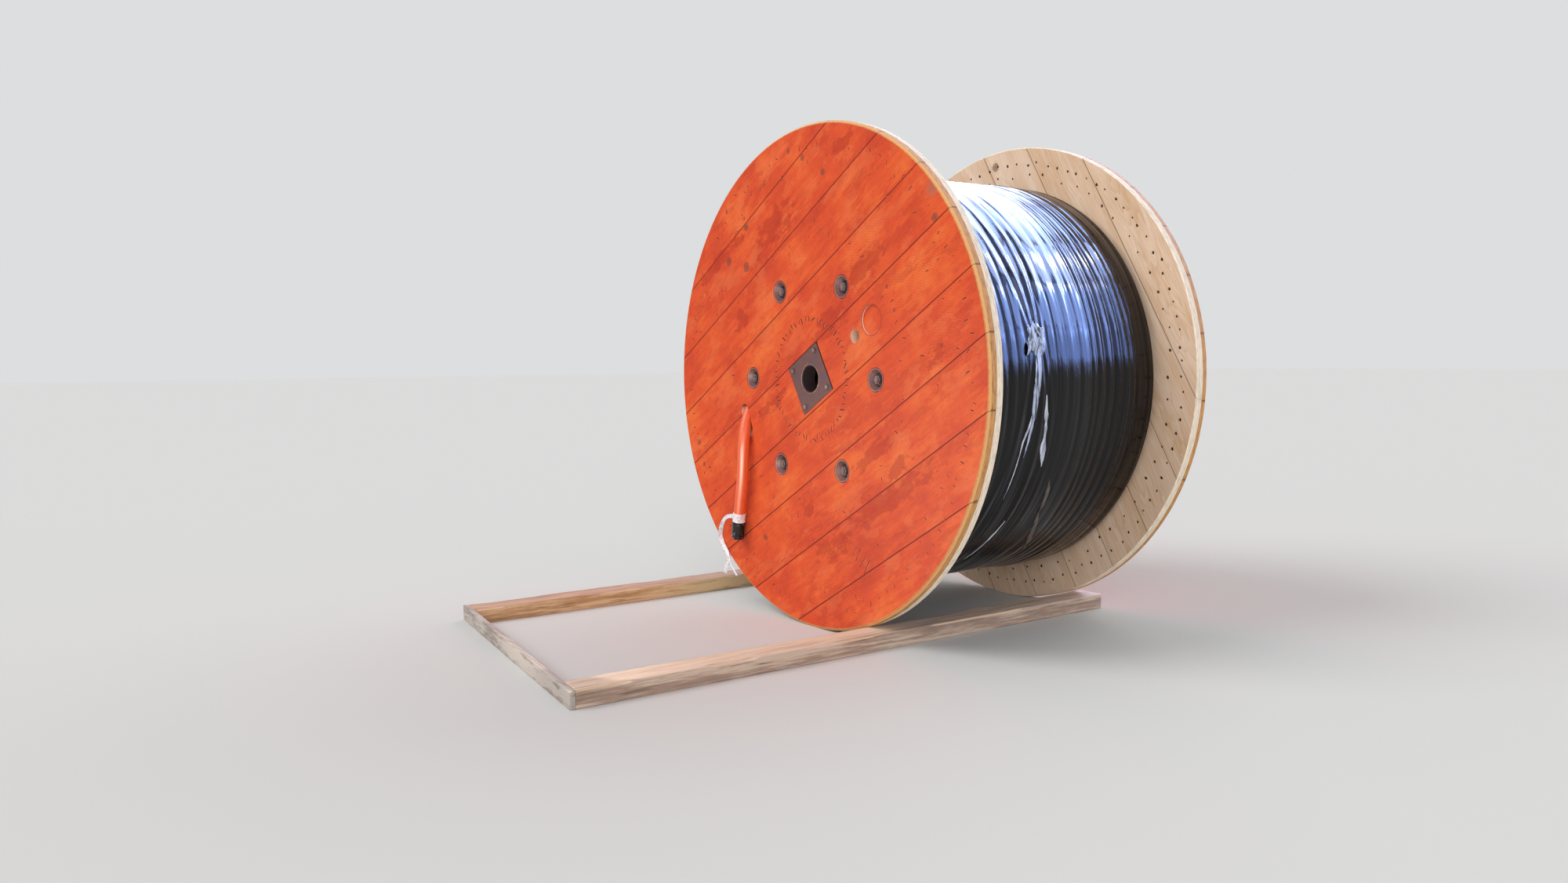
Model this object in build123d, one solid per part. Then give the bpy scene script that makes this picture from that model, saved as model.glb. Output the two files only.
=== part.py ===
from build123d import *
import math
import os

# A large two-flange wooden drum wound with plastic duct and wrapped in stretch film, lying
# between two low timbers that a cross board ties together. All sizes are in millimetres.
# The pieces are modelled about the drum's axis, which runs along Y, with the near flange at -Y.
# At the end they are all moved so that the origin is the middle of the base.

# Flanges: two plies of boards, nailed crosswise
flange_diameter = 2400.0
inner_width = 1250.0
ply_thickness = 38.0
board_count = 9
edge_waste = 75.0
seam_gap = 2.0
outer_board_angle = 30.0
outer_seam_shift = -8.0
inner_seam_shift = 20.0
face_chamfer = 10.0
throat_chamfer = 5.0

# Barrel: flat staves on two ring-shaped formers
barrel_diameter = 1130.0
stave_count = 24
stave_thickness = 45.0
stave_gap = 1.5
former_thickness = 38.0
former_wall = 70.0

# Tie rods, with a dished washer and a nut at each end
rod_count = 6
rod_inset = 75.0
rod_diameter = 24.0
rod_clearance = 1.0
rod_setback = 2.0
cup_diameter = 104.0
cup_floor_diameter = 52.0
cup_depth = 30.0
cup_metal = 3.0
cup_margin = 3.0
nut_across_flats = 36.0
nut_thickness = 19.0
thread_gap = 0.15

# Centre plates, each with a welded spindle bush
plate_side = 254.0
plate_thickness = 8.0
plate_gap = 2.0
plate_long_gap = 9.0
spindle_bore = 127.0
bush_wall = 8.0
bush_setback = 3.0
bush_clearance = 1.0
screw_circle_diameter = 280.0
screw_count = 4
screw_diameter = 12.0
screw_length = 60.0
screw_head_flats = 19.0
screw_head_height = 8.0
screw_clearance = 0.3

# Other cuts in the flanges
drive_hole_diameter = 66.0
drive_hole_radius = 396.0
pocket_diameter = 136.0
pocket_radius = 533.0
pocket_depth = 10.0
slot_start_angle = -163.5
slot_travel = 109.0
slot_clearance = 3.5
slot_slant = 55.0

# Winding: full layers of duct and a shorter one on top, then film that hangs lower below
duct_diameter = 60.0
layer_nesting = 1.5
full_layers = 6
top_layer_inset = 60.0
winding_fit = 0.3
groove_depth = 9.0
film_thickness = 3.0
film_sag = 27.0
film_end_gap = 6.0

# Tail of the duct: a cap on its end, a tape bound round it, and the tape's loose end
cap_wall = 2.5
cap_length = 92.0
cap_end_wall = 6.0
cap_gap = 0.3
tape_band = 46.0
tape_build = 3.0
tape_cord_diameter = 10.0
tape_gap = 0.8

# Timbers that the drum lies between
rail_height = 75.0
rail_width = 145.0
rail_end_margin = 40.0
near_rail_length = 2950.0
far_rail_length = 2720.0
far_rail_inner_edge = 1040.0
rail_contact_gap = 0.3
cross_board_thickness = 25.0

flange_radius = flange_diameter / 2
flange_thickness = 2 * ply_thickness
half_inner = inner_width / 2
half_outer = half_inner + flange_thickness
rod_radius = rod_diameter / 2
bush_radius = spindle_bore / 2 + bush_wall
barrel_radius = barrel_diameter / 2
rod_circle_radius = barrel_radius - rod_inset
board_pitch = (flange_diameter + edge_waste) / board_count
stave_inner_radius = barrel_radius * math.cos(math.pi / stave_count) - stave_thickness
winding_bore_radius = barrel_radius + winding_fit
layer_pitch = duct_diameter - layer_nesting
shoulder_radius = winding_bore_radius + full_layers * layer_pitch
crown_radius = shoulder_radius + layer_pitch
slot_width = duct_diameter + 2 * slot_clearance
slot_radius = winding_bore_radius + duct_diameter / 2
reach = 3 * flange_radius


def along_axis(sketch, y_low, y_high):
    """A sketch in X and Z, extruded along the drum's axis from y_low to y_high."""
    return extrude(Plane.XZ.offset(-y_high) * sketch, amount=y_high - y_low)


def at_polar(radius, degrees):
    """A place in the sketch at this radius and angle."""
    angle = math.radians(degrees)
    return Pos(radius * math.cos(angle), radius * math.sin(angle))


def side_span(side, depth_start, depth_end):
    """The Y range between two depths below a flange's outer face; side is -1 near and 1 far."""
    ends = (side * (half_outer - depth_start), side * (half_outer - depth_end))
    return min(ends), max(ends)


rod_places = [at_polar(rod_circle_radius, 360 / rod_count * k) for k in range(rod_count)]
screw_places = [
    at_polar(screw_circle_diameter / 2, outer_board_angle + 45 + 360 / screw_count * k)
    for k in range(screw_count)
]
drive_place = at_polar(drive_hole_radius, outer_board_angle)
pocket_place = at_polar(pocket_radius, outer_board_angle)

# The slot for the duct's tail lies beside the barrel and follows its tangent
start_angle = math.radians(slot_start_angle)
slot_start = Vector(slot_radius * math.cos(start_angle), 0, slot_radius * math.sin(start_angle))
half_sweep = slot_travel / 2 / slot_radius
slot_heading = Vector(-math.sin(start_angle + half_sweep), 0, math.cos(start_angle + half_sweep))
slot_middle = slot_start + slot_heading * (slot_travel / 2)
heading_degrees = math.degrees(math.atan2(slot_heading.Z, slot_heading.X))
slant = math.radians(slot_slant)
tail_heading = slot_heading * math.sin(slant) + Vector(0, -math.cos(slant), 0)


def slot_cut():
    """The slanted slot through the near flange, longer than the flange is thick."""
    overrun = 20.0
    centre = slot_middle + Vector(0, -half_outer, 0) + tail_heading * overrun
    outline = Rot(0, 0, heading_degrees) * SlotCenterToCenter(slot_travel, slot_width)
    mouth = Plane(origin=centre, x_dir=(1, 0, 0), z_dir=(0, -1, 0)) * outline
    travel = flange_thickness / math.cos(slant) + 2 * overrun
    return extrude(mouth, amount=travel, dir=-tail_heading)


def plate_pocket(side):
    """The housing for a centre plate, a little longer than the plate along the board."""
    length = plate_side + plate_gap + plate_long_gap
    shift = (plate_long_gap - plate_gap) / 2
    sketch = Rot(0, 0, outer_board_angle) * Pos(shift, 0) * Rectangle(length, plate_side + 2 * plate_gap)
    return along_axis(sketch, *side_span(side, -1, plate_thickness))


def flange_cuts(side):
    """Every hole and recess of one flange."""
    through = side_span(side, -1, flange_thickness + 1)
    cuts = [along_axis(Circle(bush_radius + bush_clearance), *through), plate_pocket(side)]
    cuts.append(along_axis(drive_place * Circle(drive_hole_diameter / 2), *through))
    for place in rod_places:
        cuts.append(along_axis(place * Circle(rod_radius + rod_clearance), *through))
        seat = Circle(cup_diameter / 2 + cup_margin)
        cuts.append(along_axis(place * seat, *side_span(side, -1, cup_depth)))
    screw_depth = plate_thickness + screw_length
    for place in screw_places:
        hole = Circle(screw_diameter / 2 + screw_clearance)
        cuts.append(along_axis(place * hole, *side_span(side, 0, screw_depth)))
    if side < 0:
        pocket = Circle(pocket_diameter / 2)
        cuts.append(along_axis(pocket_place * pocket, *side_span(side, -1, pocket_depth)))
        cuts.append(slot_cut())
    return cuts


def ply_boards(side, outer):
    """One ply of a flange as separate boards, from the lowest seam to the highest."""
    depth = 0 if outer else ply_thickness
    span = side_span(side, depth, depth + ply_thickness)
    disc = along_axis(Circle(flange_radius), *span)
    rims = disc.edges().filter_by(GeomType.CIRCLE).sort_by(Axis.Y)
    faces_low = (side < 0) == outer
    disc = chamfer(rims[0] if faces_low else rims[-1], face_chamfer if outer else throat_chamfer)
    disc = disc - flange_cuts(side)
    angle = outer_board_angle if outer else outer_board_angle - 90
    shift = outer_seam_shift if outer else inner_seam_shift
    boards = []
    for row in range(board_count):
        middle = shift + (row - (board_count - 1) / 2) * board_pitch
        strip = Pos(0, middle) * Rectangle(reach, board_pitch - seam_gap)
        boards.append(disc & along_axis(Rot(0, 0, angle) * strip, *span))
    return boards


def barrel_staves():
    """Flat staves, bevelled to meet along the barrel's edge lines."""
    step = 2 * math.pi / stave_count
    outer_flat = barrel_radius * math.cos(step / 2)
    outer_half = barrel_radius * math.sin(step / 2) - stave_gap / 2
    inner_half = stave_inner_radius * math.tan(step / 2) - stave_gap / 2
    profile = Polygon(
        (outer_flat, -outer_half), (outer_flat, outer_half),
        (stave_inner_radius, inner_half), (stave_inner_radius, -inner_half), align=None,
    )
    turns = [Rot(0, 0, 360 / stave_count * k) for k in range(stave_count)]
    return [along_axis(turn * profile, -half_inner, half_inner) for turn in turns]


def barrel_former(side):
    """A ring inside the ends of the staves, against the flange, with the rods through it."""
    across_flats = Circle(stave_inner_radius)
    ring = across_flats - Circle(stave_inner_radius - former_wall)
    for place in rod_places:
        ring -= place * Circle(rod_radius + rod_clearance)
    return along_axis(ring, *side_span(side, flange_thickness, flange_thickness + former_thickness))


def turned_at(place, side, outline):
    """A profile of radius and depth below the outer face, turned about a place on a flange."""
    spot = place.position
    frame = Plane(
        origin=(spot.X, side * half_outer, spot.Y), x_dir=(1, 0, 0), z_dir=(0, 0, 1)
    )
    points = [(radius, -side * depth) for radius, depth in outline]
    face = frame * Polygon(*points, align=None)
    return revolve(face, Axis((spot.X, 0, spot.Y), (0, 1, 0)))


def cup_washer(place, side):
    """A dished washer, seated on the floor of its counterbore."""
    hole = rod_radius + rod_clearance
    floor = cup_floor_diameter / 2
    rim = cup_diameter / 2
    outline = [
        (hole, cup_depth), (floor, cup_depth), (rim, 0.0), (rim - 1.3 * cup_metal, 0.0),
        (floor - 0.3 * cup_metal, cup_depth - cup_metal), (hole, cup_depth - cup_metal),
    ]
    return turned_at(place, side, outline)


def rod_nut(place, side):
    """A hexagon nut on the floor of the washer."""
    sketch = RegularPolygon(nut_across_flats / 2, 6, major_radius=False)
    sketch -= Circle(rod_radius + thread_gap)
    top = cup_depth - cup_metal
    return along_axis(place * sketch, *side_span(side, top - nut_thickness, top))


def spindle_plate(side):
    """A square plate with the spindle bush welded behind it, as one piece."""
    sketch = Rot(0, 0, outer_board_angle) * Rectangle(plate_side, plate_side) - Circle(bush_radius)
    for place in screw_places:
        sketch -= place * Circle(screw_diameter / 2 + screw_clearance)
    plate = along_axis(sketch, *side_span(side, 0, plate_thickness))
    wall = Circle(bush_radius) - Circle(spindle_bore / 2)
    return plate + along_axis(wall, *side_span(side, bush_setback, flange_thickness))


def plate_screw(place, side):
    """A coach screw with a hexagon head on the plate."""
    head = RegularPolygon(screw_head_flats / 2, 6, major_radius=False)
    shank = place * Circle(screw_diameter / 2)
    body = along_axis(place * head, *side_span(side, -screw_head_height, 0))
    return body + along_axis(shank, *side_span(side, 0, screw_length))


def turned(points):
    """A closed profile of radius and Y, turned about the drum's axis."""
    return revolve(Plane.XY * Polygon(*points, align=None), Axis.Y)


def duct_winding():
    """The wound duct as one turned body; each layer shows as a ridge on its ends."""
    crest = half_inner - winding_fit
    valley = crest - groove_depth
    profile = []
    for layer in range(full_layers):
        inner = winding_bore_radius + layer * layer_pitch
        profile += [(inner, valley), (inner + layer_pitch / 2, crest)]
    profile += [
        (shoulder_radius, valley), (shoulder_radius, half_inner - top_layer_inset),
        (crown_radius - layer_pitch / 2, half_inner - top_layer_inset + groove_depth),
        (crown_radius, half_inner - top_layer_inset),
    ]
    far_half = [(radius, end) for radius, end in profile]
    near_half = [(radius, -end) for radius, end in profile]
    return turned(near_half + far_half[::-1])


def film_envelope(build):
    """The space inside the film where it lies this far outside the winding."""
    end = half_inner - film_end_gap
    shoulder = half_inner - top_layer_inset
    slope_start = end - groove_depth
    half = [
        (shoulder_radius + build, end), (shoulder_radius + build, slope_start),
        (crown_radius + build, shoulder + groove_depth),
    ]
    return turned([(0, -end)] + [(r, -y) for r, y in half] + [(r, y) for r, y in half[::-1]] + [(0, end)])


def film_wrap():
    """Stretch film, tight over the top of the winding and hanging clear of it below."""
    outside = Pos(0, 0, -film_sag / 2) * film_envelope(winding_fit + film_thickness + film_sag / 2)
    return outside - film_envelope(winding_fit)


# Route of the tail, from the inner face of the near flange down to the cap. Each point is
# its X, its height over the axis, and how far it stands out from the flange's outer face.
tail_route = [
    (-596.0, -108.0, -76.0),
    (-554.0, -214.0, 2.0),
    (-523.0, -329.0, 41.0),
    (-522.0, -463.0, 47.0),
    (-535.0, -562.0, 46.0),
    (-567.0, -699.0, 43.0),
    (-594.0, -836.0, 39.0),
]
# Route of the tape's loose end, from the binding over the rim to where it hangs
tape_route = [
    (-607.5, -722.0, 42.0),
    (-652.0, -722.0, 47.0),
    (-706.0, -738.0, 44.0),
    (-754.0, -782.0, 36.0),
    (-795.0, -845.0, 22.0),
    (-766.0, -905.0, 14.0),
    (-723.0, -947.0, 11.0),
    (-744.0, -994.0, 10.0),
    (-772.0, -1050.0, 9.0),
]


def route_points(route):
    return [Vector(x, -half_outer - out, z) for x, z, out in route]


def corner_radii(points):
    """The largest arcs that the runs allow, one for each inner point."""
    radii = []
    for before, here, after in zip(points, points[1:], points[2:]):
        turn = math.radians((here - before).get_angle(after - here))
        shorter = min((here - before).length, (after - here).length)
        radii.append(0.45 * shorter / math.tan(turn / 2))
    return radii


def cord_tube(points, diameter, name):
    """A tube of straight runs and tangent arcs along a route."""
    radii = corner_radii(points)
    path = FilletPolyline(*points, radius=radii)
    print(name, "length", round(path.length), "arc radii", [round(radius) for radius in radii])
    first_run = (points[1] - points[0]).normalized()
    return sweep(Plane(origin=points[0], z_dir=first_run) * Circle(diameter / 2), path=path)


tail_points = route_points(tail_route)
end_heading = (tail_points[-1] - tail_points[-2]).normalized()


def duct_tail():
    """The free end of the duct, cut flush with the end of the winding that it leaves."""
    first_run = (tail_points[1] - tail_points[0]).normalized()
    start = tail_points[0] - first_run * duct_diameter
    points = [start] + tail_points[1:-1] + [tail_points[-1] - end_heading * cap_end_wall]
    tube = cord_tube(points, duct_diameter, "duct_tail")
    flush = Plane(origin=(0, -half_inner, 0), z_dir=(0, -1, 0))
    return split(tube, bisect_by=flush, keep=Keep.TOP)


def sleeve_on_tail(offset, length, inner_radius, outer_radius):
    """A sleeve round the tail's last run; offset is from the cap's end to the sleeve's."""
    base = Plane(origin=tail_points[-1] - end_heading * offset, z_dir=-end_heading)
    return extrude(base * (Circle(outer_radius) - Circle(inner_radius)), amount=length)


def end_cap():
    """A moulded cap pushed over the end of the duct."""
    inner = duct_diameter / 2 + cap_gap
    outer = inner + cap_wall
    base = Plane(origin=tail_points[-1], z_dir=-end_heading)
    closed_end = extrude(base * Circle(outer), amount=cap_end_wall - cap_gap)
    return closed_end + sleeve_on_tail(cap_end_wall - cap_gap, cap_length - cap_end_wall, inner, outer)


def binding_tape():
    """Tape wound round the duct just above the cap."""
    inner = duct_diameter / 2 + tape_gap
    return sleeve_on_tail(cap_length + 2 * cap_gap, tape_band, inner, inner + tape_build)


def rail(inner_edge, length, towards):
    """One timber beside the drum; towards is 1 to the right of the drum and -1 to its left."""
    back = half_outer + rail_end_margin
    centre = towards * (inner_edge + rail_width / 2)
    box = Box(rail_width, length, rail_height, align=(Align.CENTER, Align.MAX, Align.MIN))
    return Pos(centre, back, -flange_radius) * box


# The near timber bears on both rims; the drum's lowest line is on the ground between them
touch_offset = math.sqrt(flange_radius**2 - (flange_radius - rail_height) ** 2)
near_rail_inner_edge = touch_offset + rail_contact_gap
front_right = Vector(
    near_rail_inner_edge + rail_width, half_outer + rail_end_margin - near_rail_length, -flange_radius
)
front_left = Vector(
    -far_rail_inner_edge - rail_width, half_outer + rail_end_margin - far_rail_length, -flange_radius
)
board_heading = (front_left - front_right).normalized()
board_outward = Vector(board_heading.Y, -board_heading.X, 0)
if board_outward.Y > 0:
    board_outward = -board_outward
rail_end_plane = Plane(origin=front_right, z_dir=board_outward)


def cut_to_board(timber):
    """Trim a timber's front end to the slant of the cross board."""
    return split(timber, bisect_by=rail_end_plane, keep=Keep.BOTTOM)


def cross_board():
    """A thin board on edge across the front ends of both timbers."""
    length = (front_left - front_right).length
    middle = (front_left + front_right) * 0.5
    frame = Plane(origin=middle, x_dir=board_heading, z_dir=(0, 0, 1))
    outward_is_up = frame.y_dir.dot(board_outward) > 0
    align = (Align.CENTER, Align.MIN if outward_is_up else Align.MAX, Align.MIN)
    return frame * Box(length, cross_board_thickness, rail_height, align=align)


nodes = {}
for side, side_name in ((-1, "near"), (1, "far")):
    for outer, ply_name in ((True, "outer"), (False, "inner")):
        for number, board in enumerate(ply_boards(side, outer), 1):
            nodes[f"{side_name}_{ply_name}_board_{number}"] = board
    nodes[f"{side_name}_barrel_former"] = barrel_former(side)
    nodes[f"{side_name}_spindle_plate"] = spindle_plate(side)
    nodes[f"{side_name}_plate_screws"] = [plate_screw(place, side) for place in screw_places]
    nodes[f"{side_name}_cup_washers"] = [cup_washer(place, side) for place in rod_places]
    nodes[f"{side_name}_rod_nuts"] = [rod_nut(place, side) for place in rod_places]
nodes["barrel_staves"] = barrel_staves()
rod_end = half_outer - rod_setback
nodes["tie_rods"] = [along_axis(place * Circle(rod_radius), -rod_end, rod_end) for place in rod_places]
nodes["duct_winding"] = duct_winding()
nodes["stretch_film"] = film_wrap()
nodes["duct_tail"] = duct_tail()
nodes["duct_end_cap"] = end_cap()
nodes["binding_tape"] = binding_tape()
nodes["tape_tail"] = cord_tube(route_points(tape_route), tape_cord_diameter, "tape_tail")
nodes["near_rail"] = cut_to_board(rail(near_rail_inner_edge, near_rail_length + rail_width, 1))
nodes["far_rail"] = cut_to_board(rail(far_rail_inner_edge, far_rail_length + rail_width, -1))
nodes["cross_board"] = cross_board()

# Origin: the middle of the base of everything but the tail, its cap and its tape
loose = ("duct_tail", "duct_end_cap", "binding_tape", "tape_tail")
solids = {name: ShapeList(shape).solids() if isinstance(shape, list) else shape.solids()
          for name, shape in nodes.items()}
boxes = [solid.bounding_box() for name, group in solids.items() if name not in loose for solid in group]
middle_x = (min(box.min.X for box in boxes) + max(box.max.X for box in boxes)) / 2
middle_y = (min(box.min.Y for box in boxes) + max(box.max.Y for box in boxes)) / 2
to_origin = Pos(-middle_x, -middle_y, -min(box.min.Z for box in boxes))

os.makedirs("parts", exist_ok=True)
for name, group in solids.items():
    placed = [to_origin * solid for solid in group]
    export_step(Compound(placed) if len(placed) > 1 else placed[0], f"parts/{name}.step")
print("drum axis at", [round(value, 2) for value in to_origin.position], "nodes", len(nodes))
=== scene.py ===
import functools
import math
import random

import bmesh
import bpy
from mathutils import Matrix, Vector, noise


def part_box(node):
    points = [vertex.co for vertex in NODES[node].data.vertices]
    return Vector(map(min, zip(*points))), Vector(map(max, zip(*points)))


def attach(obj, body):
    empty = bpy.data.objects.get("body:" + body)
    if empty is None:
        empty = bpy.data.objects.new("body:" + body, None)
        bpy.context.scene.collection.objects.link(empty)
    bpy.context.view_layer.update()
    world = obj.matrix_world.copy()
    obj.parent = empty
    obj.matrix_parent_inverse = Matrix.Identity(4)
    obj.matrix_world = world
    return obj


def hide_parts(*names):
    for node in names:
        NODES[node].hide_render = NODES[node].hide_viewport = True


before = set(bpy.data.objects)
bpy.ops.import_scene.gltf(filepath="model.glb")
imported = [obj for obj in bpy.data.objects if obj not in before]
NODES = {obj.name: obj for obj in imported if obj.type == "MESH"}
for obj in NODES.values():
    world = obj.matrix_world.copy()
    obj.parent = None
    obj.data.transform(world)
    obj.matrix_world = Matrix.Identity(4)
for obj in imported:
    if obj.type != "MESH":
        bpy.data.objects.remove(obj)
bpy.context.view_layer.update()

bl_info = {
    "name": "Wooden cable drum",
    "version": (1, 0, 0),
    "blender": (4, 5, 0),
    "location": "View3D > Sidebar > Cable drum",
    "description": "Dresses a wooden cable drum with its film, duct tail, nails, timbers and finishes",
    "category": "Object",
}

# Places read from the frame, in metres. The drum's axis runs along Y.
NEAR_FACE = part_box("near_outer_board_5")[0][1]
NEAR_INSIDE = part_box("near_inner_board_5")[1][1]
FAR_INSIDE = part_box("far_inner_board_5")[0][1]
FAR_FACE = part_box("far_outer_board_5")[1][1]
RADIUS = 1.2
AXIS = Vector((0.0, (NEAR_FACE + FAR_FACE) / 2, 1.2))
BOARDS = 9
RING_GAP = 0.009
CUP_RADIUS = 0.051
SCREW_CIRCLE = 0.14
BUSH_RADIUS = 0.0695
POCKET = (0.4616, 0.2665)
POCKET_RADIUS = 0.0685


def polar(radius, angle):
    return radius * math.cos(angle), radius * math.sin(angle)


CUP_CENTRES = [polar(0.49, math.radians(60 * k)) for k in range(6)]

# Knots on the near flange's face: place across and up from the axis, and radius, in metres
NEAR_KNOTS = [
    (-0.166, 1.096, 0.021), (-0.049, 1.049, 0.022), (0.109, 0.962, 0.023), (-0.541, 0.766, 0.028),
    (-0.541, 0.566, 0.036), (-0.708, 0.607, 0.034), (-0.724, 0.863, 0.017), (-0.558, 0.813, 0.013),
    (0.876, 0.674, 0.028), (0.568, 0.408, 0.014), (0.618, 0.304, 0.013), (-1.033, -0.359, 0.024),
    (-0.983, -0.476, 0.020), (-0.391, -0.809, 0.024), (-0.091, -0.584, 0.010), (0.918, 0.149, 0.013),
    (-0.274, -0.134, 0.016), (-0.433, -0.176, 0.012),
]
# Dark red patches of the same face: place across and up, half length along the board, half width
NEAR_PATCHES = [
    (0.484, -0.325, 0.15, 0.045), (0.560, -0.530, 0.34, 0.060), (0.167, -0.776, 0.17, 0.070),
    (-0.640, 0.695, 0.07, 0.050), (-0.830, 0.600, 0.20, 0.045), (-0.590, 0.315, 0.06, 0.070),
    (-0.300, 0.750, 0.18, 0.100), (0.420, 0.500, 0.14, 0.060), (0.160, 0.270, 0.18, 0.070),
    (0.250, 1.066, 0.10, 0.035), (0.900, 0.100, 0.06, 0.045), (-0.020, -0.630, 0.06, 0.045),
    (0.650, -0.384, 0.10, 0.045), (-0.310, -0.120, 0.15, 0.035), (-0.560, -0.300, 0.05, 0.060),
]


def linear(hex_colour):
    """An sRGB hex colour as linear RGBA."""
    parts = [int(hex_colour[i:i + 2], 16) / 255 for i in (1, 3, 5)]
    return (*[c / 12.92 if c <= 0.04045 else ((c + 0.055) / 1.055) ** 2.4 for c in parts], 1.0)


class DrumSizes(bpy.types.PropertyGroup):
    duct_diameter: bpy.props.FloatProperty(
        name="Duct diameter", description="Outer diameter of the wound duct", default=0.060, unit="LENGTH")
    board_pitch: bpy.props.FloatProperty(
        name="Board pitch", description="Distance from one flange board to the next", default=0.275, unit="LENGTH")
    film_sag: bpy.props.FloatProperty(
        name="Film sag", description="How far the film hangs clear under the winding", default=0.027, unit="LENGTH")
    tape_width: bpy.props.FloatProperty(
        name="Tape width", description="Width of the tape's loose end", default=0.024, unit="LENGTH")


class DrumColours(bpy.types.PropertyGroup):
    paint: bpy.props.FloatVectorProperty(
        name="Paint", description="Colour of the flange paint",
        default=linear("#DC5423"), size=4, min=0.0, max=1.0, subtype="COLOR")
    duct: bpy.props.FloatVectorProperty(
        name="Duct", description="Colour of the plastic duct",
        default=linear("#EC6428"), size=4, min=0.0, max=1.0, subtype="COLOR")
    film: bpy.props.FloatVectorProperty(
        name="Film", description="Colour of the stretch film",
        default=linear("#07070C"), size=4, min=0.0, max=1.0, subtype="COLOR")


def add_node(tree, kind, *values, stops=(), **named):
    """Adds a node, such as "Math ADD". Values fill its open sockets in turn; a named value fills the socket
    or the setting of that name; stops are a ramp's places and shades."""
    kind, _, mode = kind.partition(" ")
    node = tree.nodes.new("ShaderNode" + kind)
    if mode:
        setattr(node, "data_type" if kind == "Mix" else "operation", mode)
    for name in [name for name in named if name not in node.inputs]:
        setattr(node, name, named.pop(name))
    filled = [*zip([socket for socket in node.inputs if socket.enabled], values)]
    for socket, value in filled + [(node.inputs[name], value) for name, value in named.items()]:
        if isinstance(value, bpy.types.Node):
            value = next(output for output in value.outputs if output.enabled)
        if isinstance(value, bpy.types.NodeSocket):
            tree.links.new(value, socket)
        else:
            socket.default_value = linear(value) if isinstance(value, str) else value
    ramp = node.color_ramp.elements if stops else ()
    while len(ramp) < len(stops):
        ramp.new(0.5)
    for element, (place, shade) in zip(ramp, stops):
        element.position = place
        if isinstance(shade, (int, float)):
            shade = (shade, shade, shade, 1.0)
        element.color = linear(shade) if isinstance(shade, str) else shade
    return node


def emptied(holder):
    """Clears the nodes of a material or a world, and gives back what adds new ones."""
    holder.use_nodes = True
    holder.node_tree.nodes.clear()
    return functools.partial(add_node, holder.node_tree)


def new_material(name):
    """An empty material, what adds its nodes, and its Object coordinates."""
    made = bpy.data.materials.new(name)
    add = emptied(made)
    return made, add, add("TexCoord").outputs["Object"]


def finished(made, add, colour, relief=None, strength=0.0, depth=0.0, specular=0.5, **sockets):
    """Ends a material: a shader with its colour, its relief and other sockets, wired to the output."""
    if relief is not None:
        sockets["Normal"] = add("Bump", Height=relief, Strength=strength, Distance=depth)
    add("OutputMaterial", add("BsdfPrincipled", **{"Base Color": colour, "Specular IOR Level": specular}, **sockets))
    return made


def tinted(add, under, value, stops, shade):
    """Lays a shade over another as far as a value's stops let it."""
    return add("Mix RGBA", add("ValToRGB", value, stops=stops), under, shade)


def least(add, gaps):
    """The smallest of several distances."""
    return functools.reduce(functools.partial(add, "Math MINIMUM"), gaps)


def nearest(add, flat, centres):
    """Distance to the nearest of several places on a flange's face."""
    return least(add, [add("VectorMath DISTANCE", flat, (x, 0.0, AXIS.z + z)) for x, z in centres])


def board_space(add, place, angle, shift):
    """A ply of boards: along, depth and across, the board's number, and the place in the board."""
    pitch = bpy.context.scene.drum_sizes.board_pitch
    turned = add("Mapping", place, AXIS, (0.0, -math.radians(angle), 0.0), vector_type="TEXTURE")
    along, depth, across = add("SeparateXYZ", turned).outputs
    scaled = add("Math MULTIPLY_ADD", across, 1 / pitch, BOARDS / 2 - shift / pitch)
    row = add("Math FLOOR", scaled)
    return along, depth, across, row, add("Math SUBTRACT", scaled, row)


def wood_grain(add, along, across, row):
    """Flat sawn boards, each cut differently: growth rings about 9 mm apart, fibres, tone, drawn-out space."""
    pitch = bpy.context.scene.drum_sizes.board_pitch
    chance = add("SeparateColor", add("TexWhiteNoise", row, noise_dimensions="1D").outputs["Color"])
    pith = add("Math MULTIPLY_ADD", chance.outputs[0], pitch * 0.5, -pitch * 0.25)
    centre = add("Math MULTIPLY_ADD", row, -pitch, pitch * 3.97)
    local = add("Math ADD", add("Math ADD", across, centre), pith)
    stretched = add("CombineXYZ", add("Math MULTIPLY", along, 0.16), row, across)
    waver = add("TexNoise", stretched, 9.0, 3.0, 0.55)
    rise = add("Math MULTIPLY_ADD", waver, 0.11, add("Math MULTIPLY_ADD", along, 0.03, 0.05))
    ring = add("VectorMath LENGTH", add("CombineXYZ", local, rise))
    cycles = add("Math FRACT", add("Math MULTIPLY", ring, 1 / RING_GAP))
    rings = add("ValToRGB", cycles, stops=[(0.0, 0.15), (0.55, 0.45), (0.9, 1.0), (1.0, 0.15)])
    # Fibres are finer than a pixel here, so they are drawn about 4 mm wide
    thread = add("CombineXYZ", add("Math MULTIPLY", along, 0.05), row, across)
    return rings, add("TexNoise", thread, 240.0, 4.0, 0.6), chance.outputs[1], stretched


def sawn_relief(add, along, across, row, fibres, scale):
    """Band saw marks across the boards, about 7 mm apart, over the fibres."""
    space = add("CombineXYZ", along, row, add("Math MULTIPLY", across, 0.08))
    return add("Math MULTIPLY_ADD", add("TexNoise", space, scale, 2.0), 0.8, fibres)


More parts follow.
